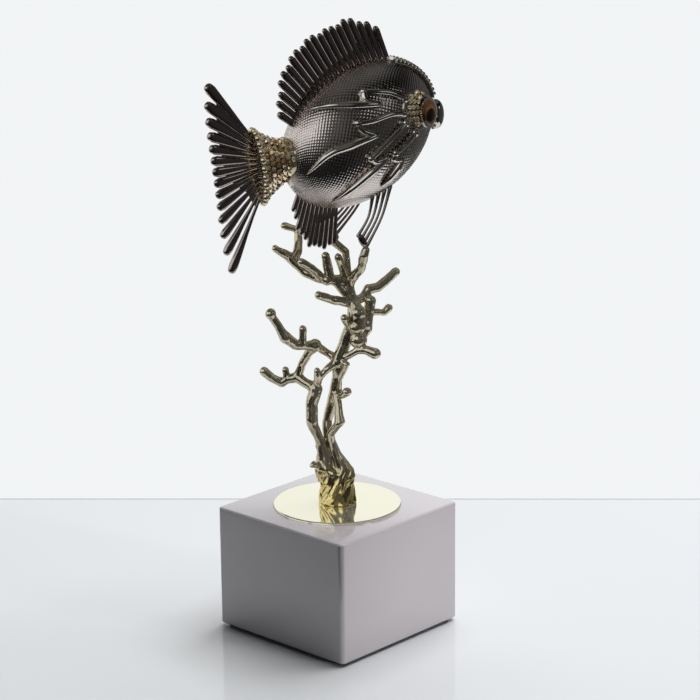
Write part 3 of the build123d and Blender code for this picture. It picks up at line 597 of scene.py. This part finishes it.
def add_web(shape, outline):
    """A flat web of an outline in the plane of symmetry."""
    corners = [shape.verts.new(spot - leftward * (web_thickness / 2)) for spot in outline]
    face = shape.faces.new(corners)
    grown = bmesh.ops.extrude_face_region(shape, geom=[face], use_keep_orig=True)["geom"]
    far = [part for part in grown if isinstance(part, bmesh.types.BMVert)]
    bmesh.ops.translate(shape, vec=leftward * web_thickness, verts=far)


def seam_fin(name, count, rear, front, leans, lengths, webs, gaps):
    """A fin on the seam between two polar angles; its rays, web and gaps change from the rear on."""
    def ray(share):
        root = egg_rim(rear + share * (front - rear))
        length = mixed(lengths, share) + ray_unevenness * math.sin(share * ray_waves)
        return root, root + seam_way(mixed(leans, share)) * length

    shape = bmesh.new()
    add_fingers(shape, ray, count, gaps)
    low = []
    high = []
    for step in range(web_steps + 1):
        root, tip = ray(step / web_steps)
        low.append(root * (1 - tang_depth / root.length))
        high.append(root.lerp(tip, mixed(webs, step / web_steps)))
    add_web(shape, low + high[::-1])
    place_on_fish(shape)
    finish_piece(shape, name + "_rays", fin_chrome, "fin_chrome", name + "_fin", crease=50)


seam_fin(
    "dorsal", count=20, rear=137, front=35, leans=(114, 104, 96, 90, 86, 82),
    lengths=(8, 16.5, 20.3, 21.5, 20.5, 21.5, 16), webs=(0.15, 0.15, 0.2, 0.3, 0.85),
    gaps=(0.2, 0.2, 0.2, 0.2, 0.1),
)
seam_fin(
    "anal", count=11, rear=189, front=221, leans=(220, 228, 236), lengths=(7, 14, 18, 18.5, 17),
    webs=(0.75, 0.45, 0.2), gaps=(0.1, 0.2, 0.45),
)


# The pelvic fins
# Four long rays each, cast and plated as the other fins, soldered to the belly on both sides and run
# together at the tips that stand on the coral's two supports.

pelvic_rays = 4
pelvic_root = Vector((-6.7, 8.9, 0))
pelvic_root_length = 10.0
pelvic_reach = {-1: Vector((-18.8, 0, -17.0)), 1: Vector((-22.0, 0, -11.6))}
pelvic_tip_step = 2.3
pelvic_tip_way = Vector((-0.2, 0, 1))
pelvic_bow = Vector((1.2, 0, -1.2))
pelvic_radii = (1.0, 0.7, 0.6, 0.65, 0.85)
pelvic_bulb = (1.7, 1.2, 3.8)


def smooth_path(spots, steps):
    """Points on a smooth curve through the spots, with a number of steps between each two."""
    points = []
    for i in range(len(spots) - 1):
        before = spots[max(i - 1, 0)]
        after = spots[min(i + 2, len(spots) - 1)]
        for step in range(steps):
            t = step / steps
            points.append(0.5 * (
                2 * spots[i] + (spots[i + 1] - before) * t
                + (2 * before - 5 * spots[i] + 4 * spots[i + 1] - after) * t**2
                + (3 * spots[i] - before - 3 * spots[i + 1] + after) * t**3
            ))
    return points + [spots[-1]]


def belly_under(x, y):
    """The point of the egg's belly under a place."""
    return Vector((x, y, -half_height * math.sqrt(1 - (x / half_length) ** 2 - (y / half_width) ** 2)))


for side, name in flanks:
    shape = bmesh.new()
    foot = belly_under(pelvic_root.x, side * pelvic_root.y) + pelvic_reach[side]
    for number in range(pelvic_rays):
        share = number / (pelvic_rays - 1)
        root = belly_under(pelvic_root.x + (share - 0.5) * pelvic_root_length, side * pelvic_root.y)
        tip = foot + pelvic_tip_way * ((pelvic_rays - 1 - number) * pelvic_tip_step)
        path = smooth_path([root, (root + tip) / 2 + pelvic_bow, tip], steps=6)
        radii = [mixed(pelvic_radii, i / (len(path) - 1)) for i in range(len(path))]
        add_bar(shape, path, radii, radii, leftward)
    joined = foot + pelvic_tip_way * ((pelvic_rays - 1) / 2 * pelvic_tip_step)
    add_ball(shape, Matrix.Translation(joined) @ Matrix.Diagonal((*pelvic_bulb, 1.0)), 1.0, segments=24)
    place_on_fish(shape)
    finish_piece(shape, "pelvic_rays_" + name, fin_chrome, "fin_chrome", "pelvic_fin_" + name)


# The tail stalk
# A flared trumpet cast in brass, gold-plated, with a bright scalloped rim at the fin. Its peg is soldered
# into the body's rear end, and its flanks are paved with crystals.

stalk_seat_angle = 162.0
stalk_angle = 158.0
stalk_length = 12.5
stalk_sunk = 5.0
stalk_steps = 20
stalk_sides = 96
waist_half_height = 9.2
waist_half_width = 7.4
flare_half_height = 16.4
flare_half_width = 6.2
flare_power = 1.6
rim_width = 1.5
rim_proud = 0.2
rim_scallops = 26
scallop_radius = 1.9
# stalk_hollow is painted shade for the trumpet's hollows and the gaps between its scallops.
stalk_hollow = (0.28, 0.21, 0.09, 1)
stalk_ridge = (0.95, 0.84, 0.60, 1)

stalk_seat = egg_rim(stalk_seat_angle)
stalk_ahead = seam_way(stalk_angle)
stalk_across = -leftward
stalk_up = stalk_ahead.cross(stalk_across)


def on_stalk(across, up, run):
    """A point of the stalk's frame."""
    return stalk_seat + stalk_across * across + stalk_up * up + stalk_ahead * run


def stalk_section(run):
    """The stalk's half width and half height, from its waist (0) to its flared end."""
    flare = max(run, 0) / stalk_length
    return (
        waist_half_width + (flare_half_width - waist_half_width) * flare,
        waist_half_height + (flare_half_height - waist_half_height) * flare**flare_power,
    )


def stalk_ring(run, wide, high):
    """A ring's place on the stalk's axis."""
    return station(on_stalk(0, 0, run), stalk_ahead, stalk_across, wide, high)


stalk_gold = cast_material("stalk_gold", stalk_hollow, stalk_ridge, gloss=0.08, dull=0.20, metallic=0.8)
shape = bmesh.new()
runs = [-stalk_sunk + (stalk_length + stalk_sunk) * step / stalk_steps for step in range(stalk_steps + 1)]
draw_out(shape, [stalk_ring(run, *stalk_section(run)) for run in runs], stalk_sides)
for number in range(rim_scallops):
    turn = 2 * math.pi * number / rim_scallops
    spot = on_stalk(
        flare_half_width * math.cos(turn), flare_half_height * math.sin(turn), stalk_length + rim_width / 2
    )
    scallop = station(spot, stalk_ahead, stalk_across, scallop_radius, scallop_radius)
    add_ball(shape, scallop @ Matrix.Diagonal((1, 1, rim_width, 1)), 1.0, segments=14)
rim = [
    stalk_ring(run, flare_half_width + rim_proud, flare_half_height + rim_proud)
    for run in (stalk_length, stalk_length + rim_width)
]
draw_out(shape, rim, stalk_sides)
place_on_fish(shape)
finish_piece(shape, "tail_trumpet", stalk_gold, "stalk_gold", "tail_stalk", crease=40)


# The tail fin
# A cast fan of black-plated rays, longest at its two lobes, on a web that reaches further out in its upper
# part. The web's tang sits in the stalk's slotted end.

tail_rays = 14
tail_upper_lobe = 33.0
tail_lower_lobe = 36.0
tail_notch = 20.5
tail_notch_power = 2.2
tail_spread = 57.0
tail_root_inset = 3.0
tail_gaps = (1.2, 0.8, 0.2, 0.2, 0.2)
tail_webs = (0.15, 0.3, 0.75, 0.8, 0.8)


def tail_ray(share):
    """The root and tip of a tail ray, from the lower lobe (0) to the upper one (1)."""
    rise = 2 * share - 1
    lean = math.radians(tail_spread * rise)
    lobe = tail_upper_lobe if rise > 0 else tail_lower_lobe
    length = tail_notch + (lobe - tail_notch) * abs(rise) ** tail_notch_power
    root = on_stalk(0, rise * (flare_half_height - tail_root_inset), stalk_length + rim_width)
    return root, root + (stalk_up * math.sin(lean) + stalk_ahead * math.cos(lean)) * length


shape = bmesh.new()
add_fingers(shape, tail_ray, tail_rays, tail_gaps)
outline = [tail_ray(1)[0], tail_ray(0)[0]]
for step in range(web_steps + 1):
    root, tip = tail_ray(step / web_steps)
    outline.append(root.lerp(tip, mixed(tail_webs, step / web_steps)))
add_web(shape, outline)
place_on_fish(shape)
finish_piece(shape, "tail_rays", fin_chrome, "fin_chrome", "tail_fin", crease=50)


# The crystals on the tail stalk
# Foiled glass stones from champagne to topaz, cut with a table and eight sides, set in close rows that step
# by half a stone. Each sits a little askew in its seat.

crystal_radius = 1.25
crystal_table = 0.6
crystal_height = 0.9
crystal_pitch = 2.55
crystal_seat = 0.08
crystal_tilt = 0.3
crystal_tilt_size = 1.7
crystal_tilt_seed = 5
crystal_roughness = (0.03, 0.14)
crystal_flaw_scale = 700.0
crystal_foil = 0.72
crystal_coat_roughness = 0.02
tint_swing = 0.9
tail_rows_sunk = 2
tail_row_shift = 0.55
tail_tint = 0.5
tail_tint_size = 0.9
topaz = (0.62, 0.36, 0.16, 1)
champagne = (1.0, 0.80, 0.52, 1)
clear_glass = (1.0, 0.96, 0.86, 1)


def add_crystal(shape, tint_layer, spot, normal, tint):
    """A stone on its seat, with its tint, from dark (0) to pale (1), kept on its corners."""
    lift = spot + normal * (crystal_seat + crystal_height / 2)
    facing = normal + noise.noise_vector(spot * crystal_tilt_size) * crystal_tilt
    stone = bmesh.ops.create_cone(
        shape, cap_ends=True, segments=8, radius1=crystal_radius, radius2=crystal_table * crystal_radius,
        depth=crystal_height, matrix=station(lift, facing, facing.orthogonal()),
    )["verts"]
    for v in stone:
        v[tint_layer] = min(max(tint, 0.0), 1.0)


def color_ramp(tree, factor, first, last, *stops):
    """The output of a ramp from a first colour to a last one, with (place, colour) stops between them."""
    ramp = add_node(tree, "ValToRGB", {"Fac": factor})
    ramp.color_ramp.elements[0].color = first
    ramp.color_ramp.elements[1].color = last
    for place, color in stops:
        ramp.color_ramp.elements.new(place).color = color
    return ramp.outputs["Color"]


def crystal_material(name, dark, middle, pale):
    """Foiled glass whose colour runs from stone to stone by their tints."""
    material, tree, shader = new_material(name)
    tint = add_node(tree, "Attribute", attribute_name="stone_tint").outputs["Fac"]
    set_inputs(tree, shader, {
        "Base Color": color_ramp(tree, tint, dark, pale, (0.5, middle)),
        "Roughness": rescale(tree, clouds(tree, crystal_flaw_scale), *crystal_roughness),
        "Metallic": crystal_foil, "Coat Weight": 1.0, "Coat Roughness": crystal_coat_roughness,
    })
    return material


def even_turns(wide, high, shift):
    """Turns round an ellipse that set stones one pitch apart."""
    fine = 720
    reached = []
    girth = 0.0
    for step in range(fine):
        turn = 2 * math.pi * (step + 0.5) / fine
        reached.append((girth, turn))
        girth += math.hypot(wide * math.sin(turn), high * math.cos(turn)) * 2 * math.pi / fine
    count = int(girth / crystal_pitch)
    wanted = [girth * (number + shift) / count for number in range(count)]
    return [min(reached, key=lambda pair: abs(pair[0] - want))[1] for want in wanted]


def stalk_surface(run, turn):
    """A point on the stalk's flank and the outward normal there."""
    step = 0.01
    wide, high = stalk_section(run)
    next_wide, next_high = stalk_section(run + step)
    spot = on_stalk(wide * math.cos(turn), high * math.sin(turn), run)
    ahead = on_stalk(next_wide * math.cos(turn), next_high * math.sin(turn), run + step) - spot
    about = stalk_up * (high * math.cos(turn)) - stalk_across * (wide * math.sin(turn))
    return spot, about.cross(ahead).normalized()


noise.seed_set(crystal_tilt_seed)
tail_crystal = crystal_material("tail_crystal", topaz, champagne, clear_glass)
shape = bmesh.new()
tint_layer = shape.verts.layers.float.new("stone_tint")
stalk_flank = math.hypot(stalk_length, flare_half_height - waist_half_height)
row_count = int(stalk_flank / crystal_pitch)
for row in range(-tail_rows_sunk, row_count):
    run = stalk_length * (row + tail_row_shift) / row_count
    for turn in even_turns(*stalk_section(run), 0.5 * (row % 2)):
        spot, normal = stalk_surface(run, turn)
        share = math.hypot(spot.x / half_length, spot.y / half_width, spot.z / half_height)
        if share > 1 + crystal_radius / half_height:
            tint = tail_tint + tint_swing * noise.noise(spot * tail_tint_size)
            add_crystal(shape, tint_layer, spot, normal, tint)
place_on_fish(shape)
finish_piece(shape, "tail_stones", tail_crystal, "crystal", "tail_crystals", crease=12)


# The crest
# A band cast to the curve of the forehead and soldered down, from the dorsal fin to the mouth, with a row of
# beads along each edge and a dotted field between them.

crest_half_width = 5.8
crest_thickness = 1.5
crest_rounding = 0.35
crest_rounding_power = 6
crest_clearance = 0.1
crest_mouth_angle = -9.0
crest_top_angle = 32.0
crest_edge = 0.45
crest_edge_level = 0.6
crest_steps = 24
bead_rows = 13
bead_radius = 0.95
bead_places = ((-0.8, 1.0), (0.8, 1.0), (-0.42, 0.7), (0.42, 0.7), (0.0, 0.7))
# trim_hollow is painted shade for the hollows of the crest, mouth, masks and sprigs.
trim_hollow = (0.14, 0.12, 0.11, 1)
trim_ridge = (0.76, 0.71, 0.64, 1)


def crest_spot(share, across, grow):
    """A point over the forehead, at a share of the way up from the mouth, on the grown egg."""
    angle = crest_mouth_angle + (crest_top_angle - crest_mouth_angle) * share
    spot = egg_rim(angle, grow) * math.sqrt(1 - (across / (half_width + grow)) ** 2)
    return Vector((spot.x, across, spot.z))


trim_chrome = cast_material(
    "trim_chrome", trim_hollow, trim_ridge, gloss=0.06, dull=0.16, hollow_at=0.42, ridge_at=0.55
)
shape = bmesh.new()
band = bmesh.ops.create_grid(shape, x_segments=40, y_segments=14, size=1.0)["verts"]
for v in band:
    crown = crest_thickness * (1 - crest_rounding * abs(v.co.y) ** crest_rounding_power)
    v.co = crest_spot((v.co.x + 1) / 2, v.co.y * crest_half_width, crown)
bmesh.ops.recalc_face_normals(shape, faces=shape.faces)
bmesh.ops.solidify(shape, geom=shape.faces[:], thickness=crest_thickness - crest_clearance)
edge_radii = [crest_edge] * (crest_steps + 1)
for side in (-1, 1):
    edge = [
        crest_spot(step / crest_steps, side * crest_half_width, crest_thickness * crest_edge_level)
        for step in range(crest_steps + 1)
    ]
    add_bar(shape, edge, edge_radii, edge_radii, leftward, sides=12)
for row in range(bead_rows):
    for across, size in bead_places:
        spot = crest_spot((row + 0.5) / bead_rows, across * crest_half_width, crest_thickness)
        add_ball(shape, Matrix.Translation(spot), bead_radius * size, segments=12)
place_on_fish(shape)
finish_piece(shape, "forehead_crest", trim_chrome, "trim_chrome", "head_crest", crease=60)


# The mouth
# A short pouting tube with thick lips, cast and soldered on below the crest, with a ring of studs behind the
# lips.

mouth_seat_angle = -22.3
mouth_angle = -30.0
mouth_half_width = 4.2
mouth_half_height = 7.0
mouth_sides = 40
stud_count = 14
stud_run = 1.6
stud_seat = 0.92
stud_radius = 0.7

# How far out each ring of the lips lies, and its share of the mouth's size
lip_profile = (
    (-2.0, 0.95), (0.0, 0.92), (0.9, 0.84), (1.8, 0.90), (2.8, 0.98), (3.8, 1.0), (4.8, 0.95), (5.7, 0.84),
    (6.4, 0.68), (6.9, 0.50), (7.1, 0.34), (6.8, 0.24), (6.0, 0.18),
)
mouth_seat = egg_rim(mouth_seat_angle)
mouth_ahead = seam_way(mouth_angle)
mouth_up = leftward.cross(mouth_ahead)
lips = []
for run, share in lip_profile:
    middle = mouth_seat + mouth_ahead * run
    lips.append(station(middle, mouth_ahead, leftward, mouth_half_width * share, mouth_half_height * share))
shape = bmesh.new()
draw_out(shape, lips, mouth_sides)
for number in range(stud_count):
    turn = 2 * math.pi * number / stud_count
    across = leftward * (stud_seat * mouth_half_width * math.cos(turn))
    up = mouth_up * (stud_seat * mouth_half_height * math.sin(turn))
    stud = mouth_seat + mouth_ahead * stud_run + across + up
    add_ball(shape, Matrix.Translation(stud), stud_radius, segments=12)
place_on_fish(shape)
finish_piece(shape, "pouting_mouth", trim_chrome, "trim_chrome", "mouth_lips", crease=70)


# The eye masks
# A cast crescent plate on each cheek, plated as the crest is, with a raised bezel for the glass eye. It is
# bent to the body and soldered down.

for name in ("right", "left"):
    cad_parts["eye_mask_" + name].material_slots[0].material = trim_chrome


# The eyes
# Domed cabochons of brown glass with a dark pupil and an amber iris that lie towards the tail, pressed into
# the bezels. The bezel's shadow is painted dark towards the glass's edge.

eye_along = 0.72
eye_up = -0.21
eye_radius = 6.2
eye_rise = 2.6
eye_gap = 0.1
eye_steps = 64
dome_steps = 12
bezel_rise = 1.5
eye_wall = 0.8 * bezel_rise
pupil_shift = Vector((-2.4, 0, 0.3))
pupil_black = (0.006, 0.004, 0.002, 1)
pupil_edge = (0.012, 0.006, 0.003, 1)
iris_amber = (0.19, 0.10, 0.042, 1)
iris_brown = (0.085, 0.040, 0.016, 1)
# bezel_shadow is the bezel's shadow, painted dark on the glass's outer edge.
bezel_shadow = (0.06, 0.028, 0.012, 1)
iris_stops = ((0.46, pupil_edge), (0.54, iris_amber), (0.80, iris_brown))
glass_swirl_scale = 350.0
glass_roughness = (0.04, 0.12)
glass_coat = 0.3
glass_coat_roughness = 0.02
glass_specular = 0.3


def flank(x, z, side, grow=0.0):
    """The point beside (x, z) on a flank of the grown egg, and its outward normal."""
    long, wide, high = half_length + grow, half_width + grow, half_height + grow
    spot = Vector((x, side * wide * math.sqrt(1 - (x / long) ** 2 - (z / high) ** 2), z))
    return spot, egg_normal(spot, grow)


eye_profile = [(0.0, eye_gap), (eye_radius, eye_gap)]
for step in range(dome_steps + 1):
    lean = math.pi / 2 * step / dome_steps
    eye_profile.append((eye_radius * math.cos(lean), eye_wall + eye_rise * math.sin(lean)))
for side, name in flanks:
    eye_spot, eye_normal = flank(eye_along * half_length, eye_up * half_height, side)
    shape = bmesh.new()
    turn_profile(shape, eye_profile, eye_steps)
    bmesh.ops.remove_doubles(shape, verts=shape.verts, dist=1e-4)
    eye_place = station(eye_spot, eye_normal, Vector((0, 0, 1)))
    bmesh.ops.transform(shape, matrix=eye_place, verts=shape.verts)
    place_on_fish(shape)

    amber, tree, shader = new_material("amber_glass_" + name)
    pupil = fish_place @ (eye_spot + eye_normal * (bezel_rise + eye_rise) + pupil_shift)
    from_pupil = add_node(tree, "VectorMath", {0: object_place(tree), 1: pupil}, operation="DISTANCE")
    spread = rescale(tree, from_pupil.outputs["Value"], 0.0, 1.0, 0.0, eye_radius * millimetre)
    set_inputs(tree, shader, {
        "Base Color": color_ramp(tree, spread, pupil_black, bezel_shadow, *iris_stops),
        "Roughness": rescale(tree, clouds(tree, glass_swirl_scale), *glass_roughness),
        "Coat Weight": glass_coat, "Coat Roughness": glass_coat_roughness,
        "Specular IOR Level": glass_specular,
    })
    finish_piece(shape, "glass_eye_" + name, amber, "amber_glass", "eye_" + name, crease=60)


# The crystals on the masks
# Foiled glass stones as on the stalk, in pale gold and clear, set in rows round the eye on each crescent and
# kept clear of its rim.

mask_along = 0.61
mask_up = -0.05
mask_radius = 9.4
mask_lip = 0.8
mask_thickness = 0.9
mask_rows = 3
mask_margin = 1.2
mask_tint = 0.55
mask_tint_size = 0.8
bezel_radius = 7.0
old_gold = (0.52, 0.36, 0.17, 1)
pale_gold = (0.95, 0.79, 0.51, 1)
clear_gold = (1.0, 0.96, 0.85, 1)

mask_middle = (mask_along * half_length, mask_up * half_height)
mask_crystal = crystal_material("mask_crystal", old_gold, pale_gold, clear_gold)
for side, name in flanks:
    shape = bmesh.new()
    tint_layer = shape.verts.layers.float.new("stone_tint")
    eye_spot, eye_normal = flank(eye_along * half_length, eye_up * half_height, side)
    eye_across = Vector((0, 0, 1)).cross(eye_normal).normalized() * -side
    eye_upward = eye_normal.cross(eye_across) * -side
    for row in range(mask_rows):
        ring = bezel_radius + mask_lip + crystal_pitch * (row + 0.5)
        in_row = int(2 * math.pi * ring / crystal_pitch)
        for number in range(in_row):
            turn = 2 * math.pi * (number + 0.5 * (row % 2)) / in_row
            spot = eye_spot + eye_across * (ring * math.cos(turn)) + eye_upward * (ring * math.sin(turn))
            from_middle = math.hypot(spot.x - mask_middle[0], spot.z - mask_middle[1])
            if from_middle < mask_radius - mask_margin * crystal_radius:
                seat, normal = flank(spot.x, spot.z, side, mask_thickness)
                tint = mask_tint + tint_swing * noise.noise(seat * mask_tint_size)
                add_crystal(shape, tint_layer, seat, normal, tint)
    place_on_fish(shape)
    finish_piece(shape, "mask_stones_" + name, mask_crystal, "crystal", "mask_crystals_" + name, crease=12)


# The sprigs
# Cast twigs soldered along the flanks: from a root at the mask a vein runs to a knob, hooks back and goes on
# as a long spike. Their tops are polished bright.

sprig_gap = 0.6
sprig_lift = 0.1
sprig_bulge = 0.8
vein_radii = (1.6, 1.4, 1.4)
hook_radii = (1.5, 1.4, 1.4)
spike_radii = (1.4, 1.9, 1.5, 0.35)
knob_radius = 1.9
root_radius = 2.1
knob_lift = 1.1

# Each sprig's angle on the mask's rim, then its vein, hook and spike as shares of the body's half length and
# half height
sprigs = (
    (114, ((0.40, 0.45), (0.26, 0.60), (0.15, 0.70)), ((0.11, 0.60), (0.20, 0.45)),
     ((-0.07, 0.67), (-0.25, 0.80), (-0.40, 0.87))),
    (151, ((0.25, 0.23), (0.02, 0.33), (-0.12, 0.42)), ((-0.12, 0.28), (-0.02, 0.12)),
     ((-0.32, 0.22), (-0.57, 0.27), (-0.84, 0.15))),
    (177, ((0.15, -0.06), (-0.05, -0.09), (-0.20, -0.13)), ((-0.16, -0.23), (-0.04, -0.28)),
     ((-0.37, -0.35), (-0.74, -0.48))),
    (220, ((0.25, -0.30), (0.09, -0.31)), ((0.04, -0.38), (0.14, -0.48)),
     ((0.00, -0.58), (-0.19, -0.70))),
)


def flank_wire(shape, places, radii, side):
    """A wire that lies on a flank through (x, z) places, with radii spread evenly along it."""
    flat_path = smooth_path([Vector((x, 0, z)) for x, z in places], steps=8)
    path = []
    sizes = []
    for i, spot in enumerate(flat_path):
        size = mixed(radii, i / (len(flat_path) - 1))
        seat, normal = flank(spot.x, spot.z, side)
        path.append(seat + normal * (size * sprig_bulge + sprig_lift))
        sizes.append(size)
    add_bar(shape, path, sizes, sizes, leftward, sides=12)


for number, (start_angle, *runs) in enumerate(sprigs, start=1):
    lean = math.radians(start_angle)
    reach = mask_radius + sprig_gap
    start = (mask_middle[0] + reach * math.cos(lean), mask_middle[1] + reach * math.sin(lean))
    vein, hook, spike = ([(x * half_length, z * half_height) for x, z in run] for run in runs)
    for side, name in flanks:
        shape = bmesh.new()
        flank_wire(shape, [start] + vein, vein_radii, side)
        flank_wire(shape, [vein[-1]] + hook, hook_radii, side)
        flank_wire(shape, [hook[-1]] + spike, spike_radii, side)
        for place, radius in ((vein[-1], knob_radius), (start, root_radius)):
            seat, normal = flank(*place, side)
            add_ball(shape, Matrix.Translation(seat + normal * knob_lift), radius, segments=20)
        place_on_fish(shape)
        label = f"sprig_{number}_{name}"
        finish_piece(shape, label + "_twig", trim_chrome, "trim_chrome", label)


# The table and the studio
# A pale, glossy table top in front of a white wall of light, with a large soft lamp overhead, bright panels
# at the sides that only the polished pieces mirror, and a narrow side lamp on the block.

view_turn = math.radians(-46.92)
view_right = Vector((math.cos(view_turn), math.sin(view_turn), 0))
view_away = Vector((-math.sin(view_turn), math.cos(view_turn), 0))
table_turn = view_turn - math.radians(1.8)
table_away = Vector((-math.sin(table_turn), math.cos(table_turn), 0))
table_width = 0.6
table_front = 0.14
table_edge = 0.179
table_thickness = 0.006
# The width of a grey band of painted shade along the table's back edge.
edge_shade_width = 0.0025
table_white = (0.56, 0.575, 0.59, 1)
table_roughness = 0.06
edge_shade_gray = (0.40, 0.41, 0.42, 1)
wall_white = (0.887, 0.905, 0.913, 1)
wall_fade = (0.0, 0.5)
wall_dim = 0.02
wall_end_fade = (0.20, 0.50)
wall_end_dim = 0.12
right_fade = (0.3, 0.9)
right_level = 0.05
ceiling_fade = (0.33, 0.60)
ceiling_dim = 0.04

# Each panel's way as the camera sees it, to the right, away and up, then its half angle, the angle over
# which its edge fades, and its brightness
panels = (
    (-0.44, -0.78, 0.46, 21, 4, 1.1), (-0.93, -0.22, 0.28, 24, 4, 1.15), (0.80, -0.50, 0.45, 6, 3, 1.0),
    (0.0, -0.94, 0.34, 28, 14, 0.11), (0.0, 0.1, 1.0, 36, 14, 0.11),
)


def along(tree, place, way):
    """How far a place or a look lies along a way."""
    return add_node(tree, "VectorMath", {0: place, 1: way}, operation="DOT_PRODUCT").outputs["Value"]


def as_seen(right, away, up):
    """A place or a way given as the camera sees it."""
    return view_right * right + view_away * away + Vector((0, 0, up))


def hang_lamp(name, kind, place, aim_level, power, **settings):
    """A lamp that shines on a level of the object's axis and is kept out of the reflections."""
    lamp = bpy.data.lights.new(name, kind)
    lamp.energy = power
    for setting, value in settings.items():
        setattr(lamp, setting, value)
    holder = bpy.data.objects.new(name, lamp)
    holder.location = place
    holder.rotation_euler = (Vector((0, 0, aim_level)) - place).to_track_quat("-Z", "Y").to_euler()
    holder.visible_glossy = False
    bpy.context.scene.collection.objects.link(holder)


shape = bmesh.new()
table_middle = table_away * ((table_edge - table_front) / 2) - Vector((0, 0, table_thickness / 2))
bmesh.ops.create_cube(
    shape, size=1.0,
    matrix=Matrix.Translation(table_middle) @ Matrix.Rotation(table_turn, 4, "Z")
    @ Matrix.Diagonal((table_width, table_edge + table_front, table_thickness, 1.0)),
)
table_mesh = bpy.data.meshes.new("table_top")
shape.to_mesh(table_mesh)
shape.free()
table = bpy.data.objects.new("table_top", table_mesh)
bpy.context.scene.collection.objects.link(table)
table_paint, tree, shader = new_material("table_paint")
behind = along(tree, object_place(tree), table_away)
# Painted shade: a grey band along the table's back edge.
edge_shade_band = combine(tree, behind, table_edge - edge_shade_width, "GREATER_THAN")
set_inputs(tree, shader, {
    "Base Color": mix_colors(tree, edge_shade_band, table_white, edge_shade_gray), "Roughness": table_roughness,
})
table_mesh.materials.append(table_paint)

world = bpy.data.worlds.new("studio")
bpy.context.scene.world = world
world.use_nodes = True
tree = world.node_tree
look = add_node(tree, "TexCoord").outputs["Generated"]
rays = add_node(tree, "LightPath").outputs
rightward = along(tree, look, view_right)
upward = add_node(tree, "SeparateXYZ", {"Vector": look}).outputs["Z"]
back_wall = rescale(tree, along(tree, look, view_away), wall_dim, 1.0, *wall_fade, "SMOOTHSTEP")
wall_end = rescale(tree, rightward, 1.0, wall_end_dim, *wall_end_fade, "SMOOTHSTEP")
right_wall = rescale(tree, rightward, 0.0, right_level, *right_fade, "SMOOTHSTEP")
ceiling = rescale(tree, upward, 1.0, ceiling_dim, *ceiling_fade, "SMOOTHSTEP")
walls = combine(tree, combine(tree, back_wall, wall_end, "MULTIPLY"), right_wall, "MAXIMUM")
level = combine(tree, walls, ceiling, "MULTIPLY")
for *way, half_angle, fade, brightness in panels:
    rim_far = math.cos(math.radians(half_angle + fade))
    rim_near = math.cos(math.radians(half_angle - fade))
    toward = along(tree, look, as_seen(*way).normalized())
    panel = rescale(tree, toward, 0.0, brightness, rim_far, rim_near, "SMOOTHSTEP")
    mirrored = combine(tree, panel, rays["Is Glossy Ray"], "MULTIPLY")
    level = combine(tree, level, mirrored, "MAXIMUM")
strength = add_node(tree, "Mix", {0: rays["Is Camera Ray"], 2: level, 3: 1.0}, data_type="FLOAT")
set_inputs(tree, tree.nodes["Background"], {"Color": wall_white, "Strength": strength.outputs[0]})

hang_lamp(
    "top_box", "AREA", as_seen(0.45, 0.35, 1.6), aim_level=0.15, power=49.0,
    shape="RECTANGLE", size=1.4, size_y=1.4,
)
hang_lamp(
    "side_lamp", "SPOT", as_seen(1.5, -0.9, 0.2), aim_level=0.03, power=98.0,
    spot_size=math.radians(9.0), spot_blend=0.8, shadow_soft_size=0.12,
)


# The camera
# A long lens a little above the fish, looking down at the corner of the block and rolled very slightly, as
# on a tripod that isn't quite level.

camera_place = as_seen(0.0066, -1.112, 0.4497)
camera_dip = 15.81
camera_roll = -0.58
camera_lens = 128.57
camera_sensor = 36.0

camera_data = bpy.data.cameras.new("camera")
camera_data.sensor_width = camera_sensor
camera_data.lens = camera_lens
camera = bpy.data.objects.new("camera", camera_data)
camera.matrix_world = (
    Matrix.Translation(camera_place)
    @ Matrix.Rotation(view_turn, 4, "Z")
    @ Matrix.Rotation(math.radians(90 - camera_dip), 4, "X")
    @ Matrix.Rotation(math.radians(camera_roll), 4, "Z")
)
bpy.context.scene.collection.objects.link(camera)
bpy.context.scene.camera = camera
bpy.context.scene.view_settings.view_transform = "Standard"
